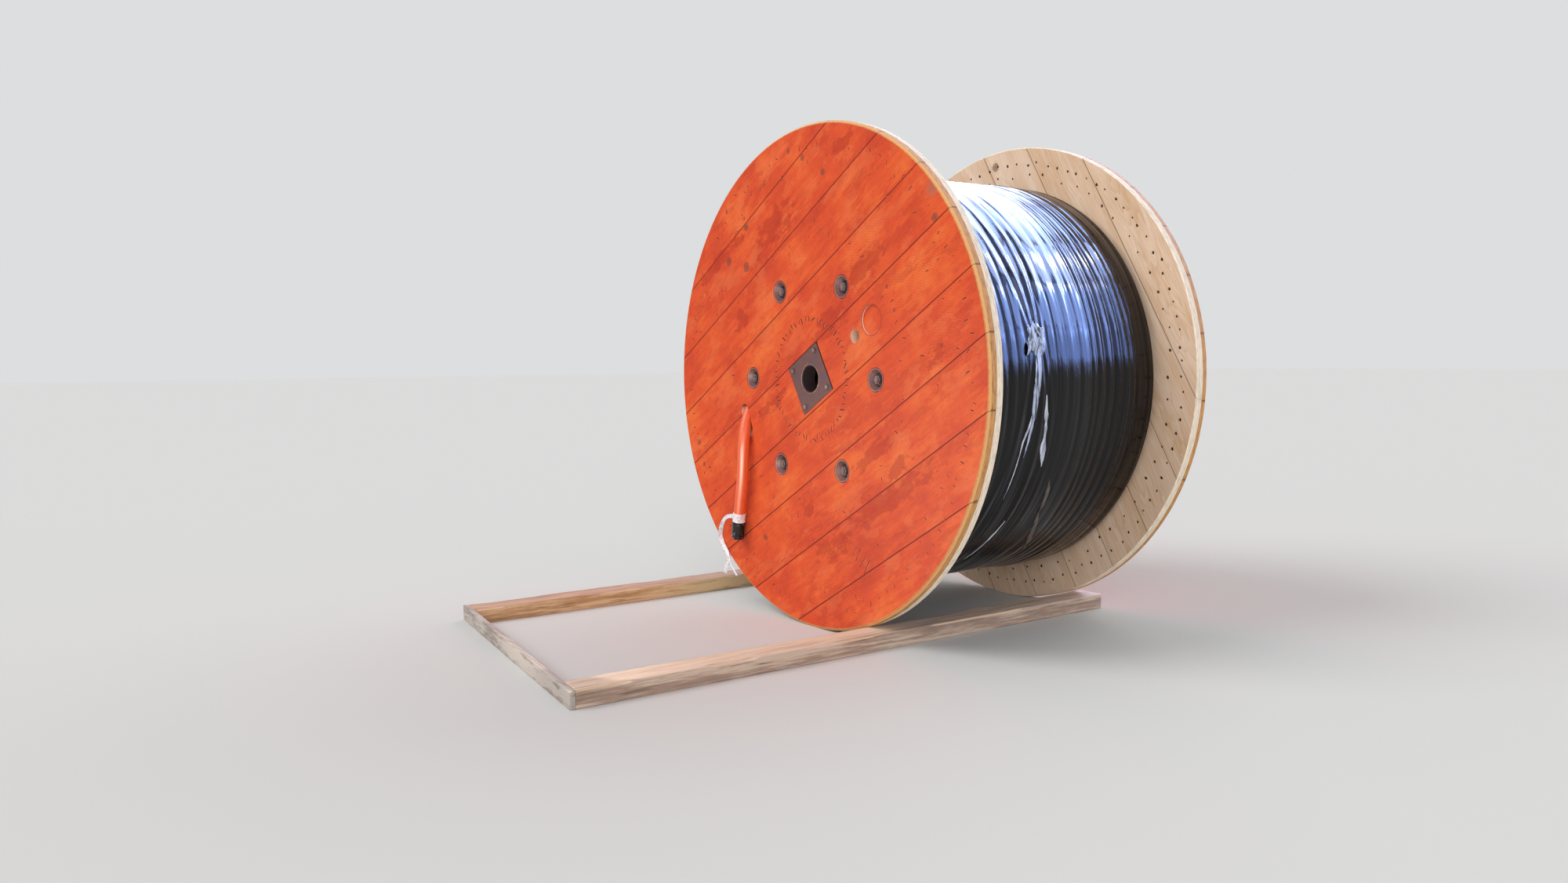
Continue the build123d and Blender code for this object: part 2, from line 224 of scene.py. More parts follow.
def rim_wood(add, place, shade, darkest):
    """Board ends at the rim: growth rings come out as fine lines running along it."""
    lines = add("TexNoise", add("Mapping", place, Scale=(0.10, 1.0, 0.10)), 230.0, 3.0, 0.6)
    lines = add("ValToRGB", lines, stops=[(0.36, darkest), (0.46, 0.88), (0.62, 1.05)])
    return add("Mix RGBA", 1.0, shade, lines, blend_type="MULTIPLY")


def scattered_knots(add, wood, place, shade):
    """Brown knots 20 to 50 mm across, one in most squares of about half a metre."""
    cells = add("TexVoronoi", add("Mapping", place, Scale=(1.0, 6.0, 1.0)), 2.6)
    away = add("Math MULTIPLY_ADD", add("TexNoise", place, 30.0, 2.0), 0.035, cells.outputs["Distance"])
    knot = add("ValToRGB", away, stops=[(0.020, 0.85), (0.055, 0.60), (0.072, 0.75), (0.082, 0.12), (0.13, 0.0)])
    chance = add("SeparateColor", cells.outputs["Color"]).outputs[0]
    knot = add("Math MULTIPLY", knot, add("Math GREATER_THAN", chance, 0.42))
    return add("Mix RGBA", knot, wood, shade)


def saw_arcs(add, along, across, row, soft):
    """A circular saw left arcs about 12 mm apart across each board."""
    start = add("Math PINGPONG", add("Math MULTIPLY_ADD", row, 0.37, along), 0.9)
    arc = add("VectorMath LENGTH", add("CombineXYZ", start, add("Math ADD", across, 0.62)))
    arc = add("Math SINE", add("Math MULTIPLY", arc, math.tau / 0.012))
    return add("Math MULTIPLY_ADD", add("Math MULTIPLY", arc, soft), 0.075, 1.0)


def near_face_marks(add, coat, place, flat, turn, thin_space, streak):
    """The near flange's large knots, dark patches and grey scuff, each in its place."""
    gap = least(add, [
        add("Math DIVIDE", add("VectorMath DISTANCE", place, (x, NEAR_FACE, AXIS.z + z)), size)
        for x, z, size in NEAR_KNOTS])
    gap = add("Math MULTIPLY_ADD", add("TexNoise", place, 45.0, 2.0), 0.5, gap)
    coat = tinted(add, coat, gap, [(0.0, 0.85), (0.55, 0.68), (0.80, 0.42), (0.93, 0.80), (1.0, 0.0)], "#713E30")
    gaps = []
    for x, z, half_long, half_wide in NEAR_PATCHES:
        centre = (x * math.cos(turn) + z * math.sin(turn), z * math.cos(turn) - x * math.sin(turn), 0.0)
        away = add("VectorMath SUBTRACT", flat, centre)
        away = add("VectorMath MULTIPLY", away, (1 / half_long, 1 / half_wide, 0.0))
        gaps.append(add("VectorMath LENGTH", away))
    torn = add("Math MULTIPLY_ADD", add("TexNoise", thin_space, 20.0, 8.0, 0.68), 5.0, least(add, gaps))
    coat = tinted(add, coat, add("Math MULTIPLY", torn, 0.25), [(0.790, 0.55), (0.815, 0.30), (0.880, 0.0)],
                  "#AC2A0E")
    # Grey scuff where the paint is rubbed through near the rim
    away = add("VectorMath DISTANCE", place, (0.86, NEAR_FACE, AXIS.z + 0.80))
    reach = add("Math MULTIPLY_ADD", away, -5.5, 0.55, use_clamp=True)
    scuff = add("ValToRGB", add("Math MULTIPLY_ADD", streak, 0.55, reach), stops=[(0.56, 0.0), (0.80, 0.55)])
    scuff = add("Math MULTIPLY", scuff, add("Math GREATER_THAN", reach, 0.0))
    return add("Mix RGBA", scuff, coat, "#94705F")


def painted_pine(name, angle, shift, outward):
    """Sawn pine boards under one thin coat of orange paint, bare at the rim and in the holes."""
    made, add, place = new_material(name)
    near = outward < 0
    along, depth, across, row, inside = board_space(add, place, angle, shift)
    flat = add("CombineXYZ", along, across)
    rings, fibres, tone, stretched = wood_grain(add, along, across, row)
    # The thin coat follows the board: ragged dark red patches where the wood drank it
    soft = add("TexNoise", place, 3.2, 4.0, 0.6)
    streak = add("TexNoise", stretched, 26.0, 7.0, 0.66)
    amount = add("Math MULTIPLY_ADD", streak, 0.55, soft)
    amount = add("Math MULTIPLY_ADD", tone, 0.10, amount)
    amount = add("Math MULTIPLY_ADD", rings, -0.05, amount)
    coat = add("ValToRGB", amount, stops=[
        (0.55, "#C2401E"), (0.70, "#D24820"), (0.84, bpy.context.scene.drum_colours.paint), (0.98, "#E4672B")])
    ragged_space = add("Mapping", stretched, Scale=(1.7, 1.0, 1.0))
    thin_space = add("Mapping", stretched, Scale=(3.2, 1.0, 1.0))
    for space, scale, detail, rough, stops, shade in (
        (ragged_space, 8.5, 9.0, 0.70, [(0.535, 0.0), (0.565, 0.32 if near else 0.42)], "#B23117"),
        (thin_space, 7.0, 9.0, 0.62, [(0.535, 0.0), (0.560, 0.16), (0.68, 0.36)], "#EA7E48"),
        (thin_space, 17.0, 7.0, 0.66, [(0.575, 0.0), (0.60, 0.22), (0.72, 0.42)], "#B8381A"),
        (thin_space, 90.0, 4.0, 0.6, [(0.60, 0.0), (0.72, 0.45)], "#A62C14"),
    ):
        coat = tinted(add, coat, add("TexNoise", space, scale, detail, rough), stops, shade)
    for darker in (add("Math MULTIPLY_ADD", fibres, 0.34, 0.83), saw_arcs(add, along, across, row, soft)):
        coat = add("Mix RGBA", 1.0, coat, darker, blend_type="MULTIPLY")
    # Paint gathers dark along the seams
    seam = add("ValToRGB", add("Math PINGPONG", inside, 0.5), stops=[(0.006, 0.75), (0.020, 0.0)])
    coat = add("Mix RGBA", seam, coat, "#8A2C18")
    if near:
        coat = near_face_marks(add, coat, place, flat, math.radians(angle), thin_space, streak)
    else:
        coat = scattered_knots(add, coat, place, "#7D4A3A")
    # Painted shade: dark rings round the cups where they stand in their bores, and a dark ring round the pocket's
    # edge
    around = add("VectorMath MULTIPLY", place, (1.0, 0.0, 1.0))
    gap = add("Math SUBTRACT", nearest(add, around, CUP_CENTRES), CUP_RADIUS)
    gap = add("Math MULTIPLY_ADD", gap, 20.0, 0.5)
    coat = tinted(add, coat, gap, [(0.44, 0.9), (0.56, 0.75), (0.62, 0.0)], "#4A2018")
    if near:
        gap = add("Math MULTIPLY_ADD", nearest(add, around, [POCKET]), 20.0, -1.0)
        coat = tinted(add, coat, gap, [(0.33, 0.0), (0.362, 0.90), (0.392, 0.70), (0.44, 0.0)], "#7C2E18")
    # Bare wood: the rim with its worn edge, and what lies behind the painted face in holes
    radial = add("VectorMath LENGTH", flat)
    behind = add("Math MULTIPLY_ADD", depth, -outward, (FAR_FACE - NEAR_FACE) / 2)
    rim = add("Math GREATER_THAN", radial, RADIUS - 0.0006)
    worn = add("Math MULTIPLY_ADD", add("TexNoise", place, 60.0, 3.0), 0.006, radial)
    worn = add("Math SUBTRACT", worn, RADIUS - 0.5)
    hole = add("Math MULTIPLY", add("Math GREATER_THAN", behind, 0.0015),
               add("Math LESS_THAN", radial, RADIUS - 0.012))
    # The shallow pocket's floor is painted as the face is
    aside = add("VectorMath LENGTH", add("CombineXYZ", add("Math SUBTRACT", along, 0.533), across))
    floor = add("Math MULTIPLY", add("Math LESS_THAN", aside, POCKET_RADIUS),
                add("Math GREATER_THAN", behind, 0.0095))
    hole = add("Math SUBTRACT", hole, floor, use_clamp=True)
    hole = add("Math MULTIPLY", hole, add("Math LESS_THAN", seam, 0.2))
    coat = tinted(add, coat, worn, [(0.4900, 0.0), (0.4935, 0.85)], "#E5B575")
    coat = tinted(add, coat, worn, [(0.4880, 0.0), (0.4908, 0.75), (0.4935, 0.0)], "#A85A34")
    coat = add("Mix RGBA", hole, coat, "#F2C9B2")
    bare = add("Mix RGBA", seam, rim_wood(add, place, "#D8A067", 0.50), "#7A4A2A")
    return finished(
        made, add, add("Mix RGBA", rim, coat, bare), sawn_relief(add, along, across, row, fibres, 150.0), 0.5,
        0.0016, specular=add("Math MULTIPLY_ADD", rim, -0.12, 0.15), Roughness=0.62)


def bare_pine(name, angle, shift, shade, low_shade):
    """Sawn pine left bare: sandy beige with brown late wood lines and faint saw marks."""
    made, add, place = new_material(name)
    along, _, across, row, inside = board_space(add, place, angle, shift)
    rings, fibres, tone, stretched = wood_grain(add, along, across, row)
    amount = add("Math MULTIPLY_ADD", rings, -0.22, add("TexNoise", stretched, 11.0, 5.0, 0.6))
    amount = add("Math MULTIPLY_ADD", tone, 0.2, amount)
    wood = add("ValToRGB", amount, stops=[(0.25, low_shade), (0.75, shade)])
    wood = add("Mix RGBA", 1.0, wood, add("Math MULTIPLY_ADD", fibres, 0.3, 0.85), blend_type="MULTIPLY")
    wood = tinted(add, wood, add("Math PINGPONG", inside, 0.5), [(0.006, 0.5), (0.014, 0.0)], "#7A5838")
    wood = scattered_knots(add, wood, place, "#6E4526")
    rim = add("Math GREATER_THAN", add("VectorMath LENGTH", add("CombineXYZ", along, across)), RADIUS - 0.0052)
    wood = add("Mix RGBA", rim, wood, rim_wood(add, place, "#FEEDD6", 0.70))
    return finished(made, add, wood, sawn_relief(add, along, across, row, fibres, 130.0), 0.5, 0.0016,
                    specular=0.05, Roughness=0.78)


def weathered_timber(name, along_axis, shades, bleached, share):
    """Rough sawn timber gone grey-brown outdoors: checks along the grain and paler worn fibres."""
    made, add, place = new_material(name)
    scale = [1.0, 1.0, 1.0]
    scale[along_axis] = 0.06
    stretched = add("Mapping", place, Scale=scale)
    grain = add("TexNoise", stretched, 85.0, 7.0, 0.65)
    amount = add("Math MULTIPLY_ADD", grain, 0.9, add("TexNoise", stretched, 14.0, 4.0))
    wood = add("ValToRGB", amount, stops=[*zip((0.55, 0.85, 1.15), shades)])
    cracks = add("TexNoise", stretched, 42.0, 5.0, 0.6)
    wood = tinted(add, wood, cracks, [(0.34, 0.50), (0.385, 0.0)], "#5B4636")
    old = add("Mix RGBA", 0.55, bleached, wood, blend_type="OVERLAY")
    upward = add("SeparateXYZ", add("NewGeometry").outputs["Normal"]).outputs[2]
    wood = tinted(add, wood, upward, [(0.4, 0.0), (0.8, share)], old)
    # Splinters torn off the edges show clean wood
    torn = add("Attribute", attribute_name="torn").outputs["Fac"]
    wood = tinted(add, wood, torn, [(0.15, 0.0), (0.45, 0.85)], "#F2D9BA")
    return finished(made, add, wood, grain, 0.6, 0.003, specular=0.2, Roughness=0.85)


def rusted_steel(name, sound, rust, share, roughness, metallic, marks=None):
    """Mild steel with a thin brown oxide: purple-grey where sound, orange-brown in patches."""
    made, add, place = new_material(name)
    patches = add("TexNoise", place, 26.0, 8.0, 0.68)
    amount = add("Math MULTIPLY_ADD", add("TexNoise", place, 240.0, 3.0), 0.3, patches)
    skin = tinted(add, sound, amount, [(share, 0.0), (share + 0.16, 1.0)], rust)
    # Marks paint shade and highlight over the oxide: the plate's dark bore and screw rings, the cups' dark bowls and
    # pale rims
    if marks:
        skin = marks(add, skin, add("VectorMath MULTIPLY", place, (1.0, 0.0, 1.0)))
    return finished(made, add, skin, amount, 0.35, 0.001, Roughness=roughness, Metallic=metallic)


def bore_and_screw_painted_shade(add, skin, flat):
    """Painted shade: the bore of the plate's bush painted near black, and dark rings painted round its four screw
    heads.
    """
    skin = tinted(add, skin, nearest(add, flat, [(0.0, 0.0)]), [(0.0638, 1.0), (0.0646, 0.0)], "#161416")
    screws = [polar(SCREW_CIRCLE, math.radians(degrees)) for degrees in (75, 165, 255, 345)]
    near = add("Math MULTIPLY", nearest(add, flat, screws), 20.0)
    return tinted(add, skin, near, [(0.22, 0.85), (0.29, 0.65), (0.37, 0.0)], "#2C1C1C")


def bowl_painted_shade_and_highlight(add, skin, flat):
    """Painted shade and highlight on each cup: its bowl painted dark towards the nut, its rim painted pale."""
    shade = add("ValToRGB", add("Math MULTIPLY", nearest(add, flat, CUP_CENTRES), 18.0), stops=[
        (0.36, 0.08), (0.50, 0.12), (0.57, 0.50), (0.70, 0.95), (0.82, 0.75), (0.865, 1.9), (0.94, 2.2)])
    return add("Mix RGBA", 1.0, skin, shade, blend_type="MULTIPLY")


def clear_wrap():
    """Clear polyethylene wrap: see-through, with milky creases that glint."""
    made, add, place = new_material("Polyethylene wrap, clear")
    creases = add("TexNoise", place, 75.0, 6.0, 0.65, Distortion=1.6)
    solid = add("ValToRGB", creases, stops=[(0.60, 0.0), (0.68, 0.60)])
    return finished(made, add, "#E6EAF2", creases, 0.8, 0.003, Roughness=0.12, Alpha=solid)


def duct_plastic():
    """Extruded polyethylene duct: a satin orange with faint draw lines along it."""
    made, add, place = new_material("Extruded polyethylene, orange")
    lines = add("TexNoise", add("Mapping", place, Scale=(1.0, 1.0, 0.03)), 170.0, 3.0)
    shade = add("ValToRGB", lines, stops=[(0.3, "#DE5522"), (0.7, bpy.context.scene.drum_colours.duct)])
    return finished(made, add, shade, lines, 0.15, 0.0006, Roughness=0.40, IOR=1.52)


def stretch_film():
    """Black polyethylene stretch film: mirror-like where taut, finely wrinkled round the winding."""
    made, add, place = new_material("Polyethylene stretch film, black")
    folds = add("TexNoise", add("Mapping", place, Scale=(1.0, 11.0, 1.0)), 5.0, 3.0, 0.5, Distortion=0.5)
    lines = add("TexNoise", add("Mapping", place, Scale=(1.0, 7.0, 1.0)), 30.0, 4.0, 0.56)
    # Fine wrinkles gather in some places and leave others taut
    where = add("TexNoise", place, 3.0, 2.0)
    fine = add("Math MULTIPLY", lines, add("ValToRGB", where, stops=[(0.44, 0.05), (0.64, 0.80)]))
    taut = add("ValToRGB", where, stops=[(0.38, 0.35), (0.58, 1.5)])
    relief = add("Math MULTIPLY_ADD", folds, taut, fine)
    return finished(made, add, bpy.context.scene.drum_colours.film, relief, 0.45, 0.0022,
                    specular=0.31, Roughness=0.05, IOR=1.45)


def film_strip_painted_light(name, shade, roughness, dark="#2B2B33"):
    """Stretch film pulled thin at a tear, where it shows what lies under it: darker in its creases as painted shade;
    the pale blue-white of the slivers and the bunch is a painted highlight.
    """
    made, add, place = new_material(name)
    # Creases run round the drum, about 10 mm apart
    folds = add("TexNoise", add("Mapping", place, Scale=(0.4, 3.5, 0.4)), 28.0, 5.0, 0.6)
    tint = add("ValToRGB", folds, stops=[(0.40, dark), (0.56, shade)])
    return finished(made, add, tint, folds, 0.6, 0.003, Roughness=roughness)


def nail_mark_and_painted_light(name, shade, roughness):
    """A nail mark, one colour with specks and a dull sheen: in bare pine the dark oxide of a nail head and its torn
    fibres; in the paint a dark dent that is painted shade, with a pale lip that is a painted highlight.
    """
    made, add, place = new_material(name)
    specks = add("Math MULTIPLY_ADD", add("TexNoise", place, 300.0, 2.0), 0.8, 0.6)
    tone = add("Mix RGBA", 1.0, shade, specks, blend_type="MULTIPLY")
    return finished(made, add, tone, specular=0.15, Roughness=roughness)


def moulded_black():
    """Moulded black polyethylene: near black, with a low satin sheen and fine moulding grain."""
    made, add, place = new_material("Moulded polyethylene, black")
    return finished(made, add, "#0C0C0F", add("TexNoise", place, 400.0, 2.0), 0.2, 0.0006, Roughness=0.22)


def tape_plastic():
    """Thin white polypropylene tape: slightly pink over the duct, with fine wrinkles across it, painted darker grey
    in their creases as shade.
    """
    made, add, place = new_material("Polypropylene tape, white")
    creases = add("TexNoise", place, 120.0, 5.0, Distortion=1.2)
    # The grey in the creases is painted shade
    shade = add("ValToRGB", creases, stops=[(0.36, "#B4A8AE"), (0.47, "#E8E2E4"), (0.62, "#FBFAFA")])
    return finished(made, add, shade, creases, 0.5, 0.0015, Roughness=0.3)


MAKERS = {
    "near_paint": (painted_pine, "Painted sawn pine, near flange", 30.0, -0.008, -1.0),
    "far_paint": (painted_pine, "Painted sawn pine, far flange", 30.0, -0.008, 1.0),
    "inner_pine": (bare_pine, "Bare sawn pine, inner plies", -60.0, 0.020, "#F9E0C9", "#DCB48E"),
    "stave_pine": (bare_pine, "Bare sawn pine, barrel", 90.0, 0.0, "#D9B98F", "#A98256"),
    "near_timber": (weathered_timber, "Weathered pine, near timber", 1,
                    ("#806A58", "#AF9480", "#D4BDA7"), "#DDCABB", 0.5),
    "far_timber": (weathered_timber, "Weathered pine, far timber", 1,
                   ("#8A6644", "#BA9064", "#DAB98E"), "#B0978A", 0.85),
    "cross_timber": (weathered_timber, "Weathered pine, cross board", 0,
                     ("#6A6058", "#948880", "#BAAFA5"), "#BDB1AB", 0.5),
    # The plate's black bore and dark screw rings are painted shade
    "plate": (rusted_steel, "Mild steel, hot rolled and rusting", "#4E2C32", "#5E2F26", 0.57, 0.60, 0.12,
              bore_and_screw_painted_shade),
    # The cup's dark bowl and pale rim are painted shade and painted highlight
    "cup": (rusted_steel, "Pressed mild steel, dull", "#66393A", "#73463A", 0.58, 0.60, 0.12, bowl_painted_shade_and_highlight),
    "fastener": (rusted_steel, "Mild steel fasteners, rubbed", "#83706F", "#6E4636", 0.66, 0.34, 0.5),
    "screw": (rusted_steel, "Mild steel coach screws", "#8C7674", "#70452F", 0.62, 0.42, 0.3),
    "weld": (rusted_steel, "Mild steel weld, oxidised", "#594645", "#8E5236", 0.62, 0.5, 0.15),
    "clear_wrap": (clear_wrap,),
    # The pale blue-white of these film pieces is a painted highlight
    "milky_film": (film_strip_painted_light, "Polyethylene stretch film, pulled thin", "#E6ECF6", 0.2, "#8C97AE"),
    "bunched_film": (film_strip_painted_light, "Polyethylene stretch film, bunched", "#C4D2F0", 0.1, "#0C0D14"),
    "torn_film": (film_strip_painted_light, "Polyethylene stretch film, torn", "#6B5F57", 0.35),
    # In the paint a nail dent's dark is painted shade and its pale lip a painted highlight
    "nail_dent_painted_shade": (nail_mark_and_painted_light, "Steel nail in painted pine", "#6A2213", 0.6),
    "lip_painted_highlight": (nail_mark_and_painted_light, "Torn painted fibres", "#E8835A", 0.75),
    "bare_nail": (nail_mark_and_painted_light, "Steel nail in bare pine", "#3E2C20", 0.6),
    "bare_lip": (nail_mark_and_painted_light, "Torn pine fibres", "#8B6A48", 0.8),
    "duct": (duct_plastic,),
    "film": (stretch_film,),
    "cap": (moulded_black,),
    "tape": (tape_plastic,),
}


@functools.cache
def material(name):
    """The finish of this name, made the first time that it is asked for."""
    maker, *values = MAKERS[name]
    return maker(*values)


def finish_node(part, name):
    """Puts a finish on every CAD node whose name has this part."""
    for node_name, node in NODES.items():
        if part in node_name:
            for slot in node.material_slots:
                slot.material = material(name)


def finish_piece(piece, name, slot_name, *replaced):
    """Gives a finished piece its material, its body, and the nodes that it stands for."""
    if not piece.data.materials:
        piece.data.materials.append(material(name))
    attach(piece, "root")
    if replaced:
        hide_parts(*replaced)
    return piece


def placed(name, data):
    """A new object in the scene."""
    piece = bpy.data.objects.new(name, data)
    bpy.context.scene.collection.objects.link(piece)
    return piece


def pose(x_axis, y_axis, z_axis, place):
    """A matrix that turns and scales to three axes, and moves to a place."""
    matrix = Matrix((x_axis, y_axis, z_axis)).transposed().to_4x4()
    matrix.translation = place
    return matrix


def deselect():
    if bpy.context.object and bpy.context.object.mode != "OBJECT":
        bpy.ops.object.mode_set(mode="OBJECT")
    bpy.ops.object.select_all(action="DESELECT")


def make_active(piece):
    deselect()
    piece.select_set(True)
    bpy.context.view_layer.objects.active = piece


def primitive(name, operator, **settings):
    """A primitive at its size and place, with its object at the origin."""
    deselect()
    operator(**settings)
    piece = bpy.context.object
    piece.name = name
    bpy.ops.object.transform_apply(location=True, rotation=True, scale=True)
    return piece


def pick_faces(piece, wanted):
    """Selects the faces that a test picks, in edit mode."""
    bpy.ops.mesh.select_mode(type="FACE")
    bpy.ops.mesh.select_all(action="DESELECT")
    mesh = bmesh.from_edit_mesh(piece.data)
    for face in mesh.faces:
        if wanted(face):
            face.select_set(True)
    bmesh.update_edit_mesh(piece.data)


def cut(place, normal, **settings):
    """Cuts a whole mesh along a plane, in edit mode."""
    bpy.ops.mesh.select_all(action="SELECT")
    bpy.ops.mesh.bisect(plane_co=place, plane_no=normal, **settings)


def turn_outwards(piece):
    """Points all faces of a closed mesh outwards."""
    make_active(piece)
    bpy.ops.object.mode_set(mode="EDIT")
    bpy.ops.mesh.select_all(action="SELECT")
    bpy.ops.mesh.normals_make_consistent(inside=False)
    bpy.ops.object.mode_set(mode="OBJECT")


def grid_faces(rows, width, rows_close=False, row_closes=False):
    """Faces of a grid of points laid row by row, which may close on itself either way."""
    faces = []
    for i in range(rows if rows_close else rows - 1):
        for j in range(width if row_closes else width - 1):
            row, after, beside = i * width, (i + 1) % rows * width, (j + 1) % width
            faces.append((row + j, row + beside, after + beside, after + j))
    return faces


def mesh_piece(name, points, faces):
    """A smooth mesh object from points in the row frame."""
    mesh = bpy.data.meshes.new(name)
    mesh.from_pydata(points, [], faces)
    mesh.update()
    mesh.shade_smooth()
    return placed(name, mesh)


def route_curve(name, points, bevel, resolution):
    """A smooth NURBS cord with the route's points as its control points."""
    curve = bpy.data.curves.new(name, "CURVE")
    curve.dimensions = "3D"
    curve.resolution_u = resolution
    spline = curve.splines.new("NURBS")
    spline.points.add(len(points) - 1)
    for point, place in zip(spline.points, points):
        point.co = (*place, 1.0)
    spline.order_u = 3
    spline.use_endpoint_u = True
    curve.bevel_depth = bevel
    curve.bevel_resolution = 10
    curve.use_fill_caps = True
    return placed(name, curve)


def curve_line(points, resolution):
    """The points along a route's NURBS spline, read from a curve with no bevel."""
    bare = route_curve("bare_route", points, 0.0, resolution)
    mesh = bpy.data.meshes.new_from_object(bare)
    line = [v.co.copy() for v in mesh.vertices]
    bpy.data.meshes.remove(mesh)
    curve = bare.data
    bpy.data.objects.remove(bare)
    bpy.data.curves.remove(curve)
    return line


# Routes: across, height over the axis and distance out from the near face, in metres
TAIL_ROUTE = [
    (-0.596, -0.108, -0.076), (-0.554, -0.214, 0.002), (-0.523, -0.329, 0.041), (-0.522, -0.463, 0.047),
    (-0.535, -0.562, 0.046), (-0.567, -0.699, 0.043), (-0.594, -0.836, 0.039),
]
TAPE_ROUTE = [
    (-0.6075, -0.722, 0.042), (-0.652, -0.722, 0.047), (-0.706, -0.738, 0.044), (-0.754, -0.782, 0.036),
    (-0.795, -0.845, 0.022), (-0.766, -0.905, 0.014), (-0.723, -0.947, 0.011), (-0.744, -0.994, 0.010),
    (-0.772, -1.050, 0.009),
]


def route_points(route):
    return [Vector((x, NEAR_FACE - out, AXIS.z + z)) for x, z, out in route]


class DRUM_OT_stage(bpy.types.Operator):
    """Adds the camera, the pale floor, the world and the soft studio light"""

    bl_idname = "drum.stage"
    bl_label = "Stage"

    # Suns: strength, spread in degrees, place and heading
    SUNS = {
        "key": (1.42, 34, (-1.5, -3.4, 4.2), (0.35, 0.75, -0.72)),
        "fill": (0.95, 40, (3.5, -2.0, 3.0), (-0.74, 0.58, -0.34)),
        "back": (1.25, 60, (-1.0, 5.0, 4.0), (0.22, -0.86, -0.46)),
    }
    # Panels of the arch: where on the film they are mirrored in degrees, height, width, brightness, colour
    ARCH = (
        (9, 1.7, 3.6, 5.5, "#7FA6FF"), (19, 2.3, 4.6, 9.0, "#8CAFFF"), (31, 2.4, 6.0, 12.0, "#A8C1FF"),
        (44, 2.5, 6.0, 9.5, "#9ABAFF"), (57, 2.7, 6.4, 6.5, "#A9C2FF"), (72, 3.0, 7.0, 3.0, "#B4C8FF"),
        (34, 0.5, 1.4, 26.0, "#F4F7FF"), (26, 0.35, 0.8, 22.0, "#F4F7FF"),
    )

    def execute(self, context):
        yaw, pitch, roll = math.radians(54.93), math.radians(4.07), math.radians(-0.49)
        back = Vector((math.sin(yaw) * math.cos(pitch), -math.cos(yaw) * math.cos(pitch), math.sin(pitch)))
        right = Vector((math.cos(yaw), math.sin(yaw), 0.0))
        up = back.cross(right)
        turned_right = math.cos(roll) * right + math.sin(roll) * up
        turned_up = math.cos(roll) * up - math.sin(roll) * right
        lens = bpy.data.cameras.new("camera")
        lens.sensor_width, lens.sensor_fit, lens.lens = 36.0, "HORIZONTAL", 27.10
        lens.clip_end = 200.0
        camera = placed("camera", lens)
        camera.matrix_world = pose(turned_right, turned_up, back, (4.547, AXIS.y - 4.048, 1.303))
        context.scene.camera = camera

        floor = primitive("floor", bpy.ops.mesh.primitive_plane_add, size=180.0, location=(0.0, 0.0, 0.0))
        paper, add, _ = new_material("Matt paper, pale grey")
        floor.data.materials.append(finished(paper, add, "#D6D5D2", specular=0.0, Roughness=0.9))

        world = bpy.data.worlds.new("studio")
        add = emptied(world)
        path = add("LightPath")
        seen = path.outputs["Is Camera Ray"]
        for ray in ("Is Glossy Ray", "Is Transmission Ray"):
            seen = add("Math MAXIMUM", seen, path.outputs[ray])
        add("OutputWorld", add("MixShader", seen, add("Background", "#F6F8FF", 0.52),
                               add("Background", "#DDDEDF", 1.0)))
        context.scene.world = world

        for name, (strength, spread, place, heading) in self.SUNS.items():
            sun = bpy.data.lights.new(name, "SUN")
            sun.energy, sun.angle = strength, math.radians(spread)
            self.hang(name, sun, place, Vector(heading))
        # Soft panels that only glossy surfaces see, as they would a sky: one at each side, one low in
        # front for the duct, and an arch behind the drum for the taut film
        for side in (1, -1):
            self.panel(f"panel_side_{side}", AXIS + Vector((side * 6.0, -0.4, 4.6)), AXIS, (2.2, 5.6),
                       4.0, "#CBD9FF", Vector((-side * 0.6, 0.0, 0.8)))
        duct = Vector((-0.53, NEAR_FACE, 0.70))
        self.panel("panel_front", duct + Vector((0.735, -1.533, -0.10)), duct, (1.5, 1.0), 22.0,
                   "#FFF1E6", Vector((0.90, 0.43, 0.0)))
        for number, (degrees, tall, wide, radiance, shade) in enumerate(self.ARCH):
            turn = math.radians(2 * degrees)
            away = Vector((0.69 * math.cos(turn), 0.72 + 0.10 * math.sin(3.1 * number), 0.69 * math.sin(turn)))
            away.normalize()
            along = Vector((-math.sin(turn), 0.0, math.cos(turn)))
            self.panel(f"panel_{number}", AXIS + away * 8.0, AXIS, (tall, wide), radiance * 1.55, shade,
                       along)
            # A wider, deeper blue one behind it, for the flanks of the folds
            if wide > 2:
                self.panel(f"panel_deep_{number}", AXIS + away * 8.8, AXIS, (tall * 1.6, 16.0), 3.6,
                           "#8095E0", along)

        context.scene.view_settings.view_transform = "Standard"
        return {"FINISHED"}

    def panel(self, name, place, target, size, radiance, shade, along):
        """A soft panel at a place, facing a target, with its first side along a direction."""
        away = (place - target).normalized()
        light = bpy.data.lights.new(name, "AREA")
        light.shape, light.size, light.size_y = "RECTANGLE", *size
        light.energy, light.color = radiance * math.pi * size[0] * size[1], linear(shade)[:3]
        lamp = self.hang(name, light, place, -away)
        along = (along - away * along.dot(away)).normalized()
        lamp.matrix_world = pose(along, away.cross(along), away, lamp.location)
        lamp.visible_diffuse = False

    def hang(self, name, light, place, heading):
        lamp = placed(name, light)
        lamp.location = place
        lamp.rotation_euler = heading.to_track_quat("-Z", "Y").to_euler()
        lamp.visible_camera = False
        return lamp


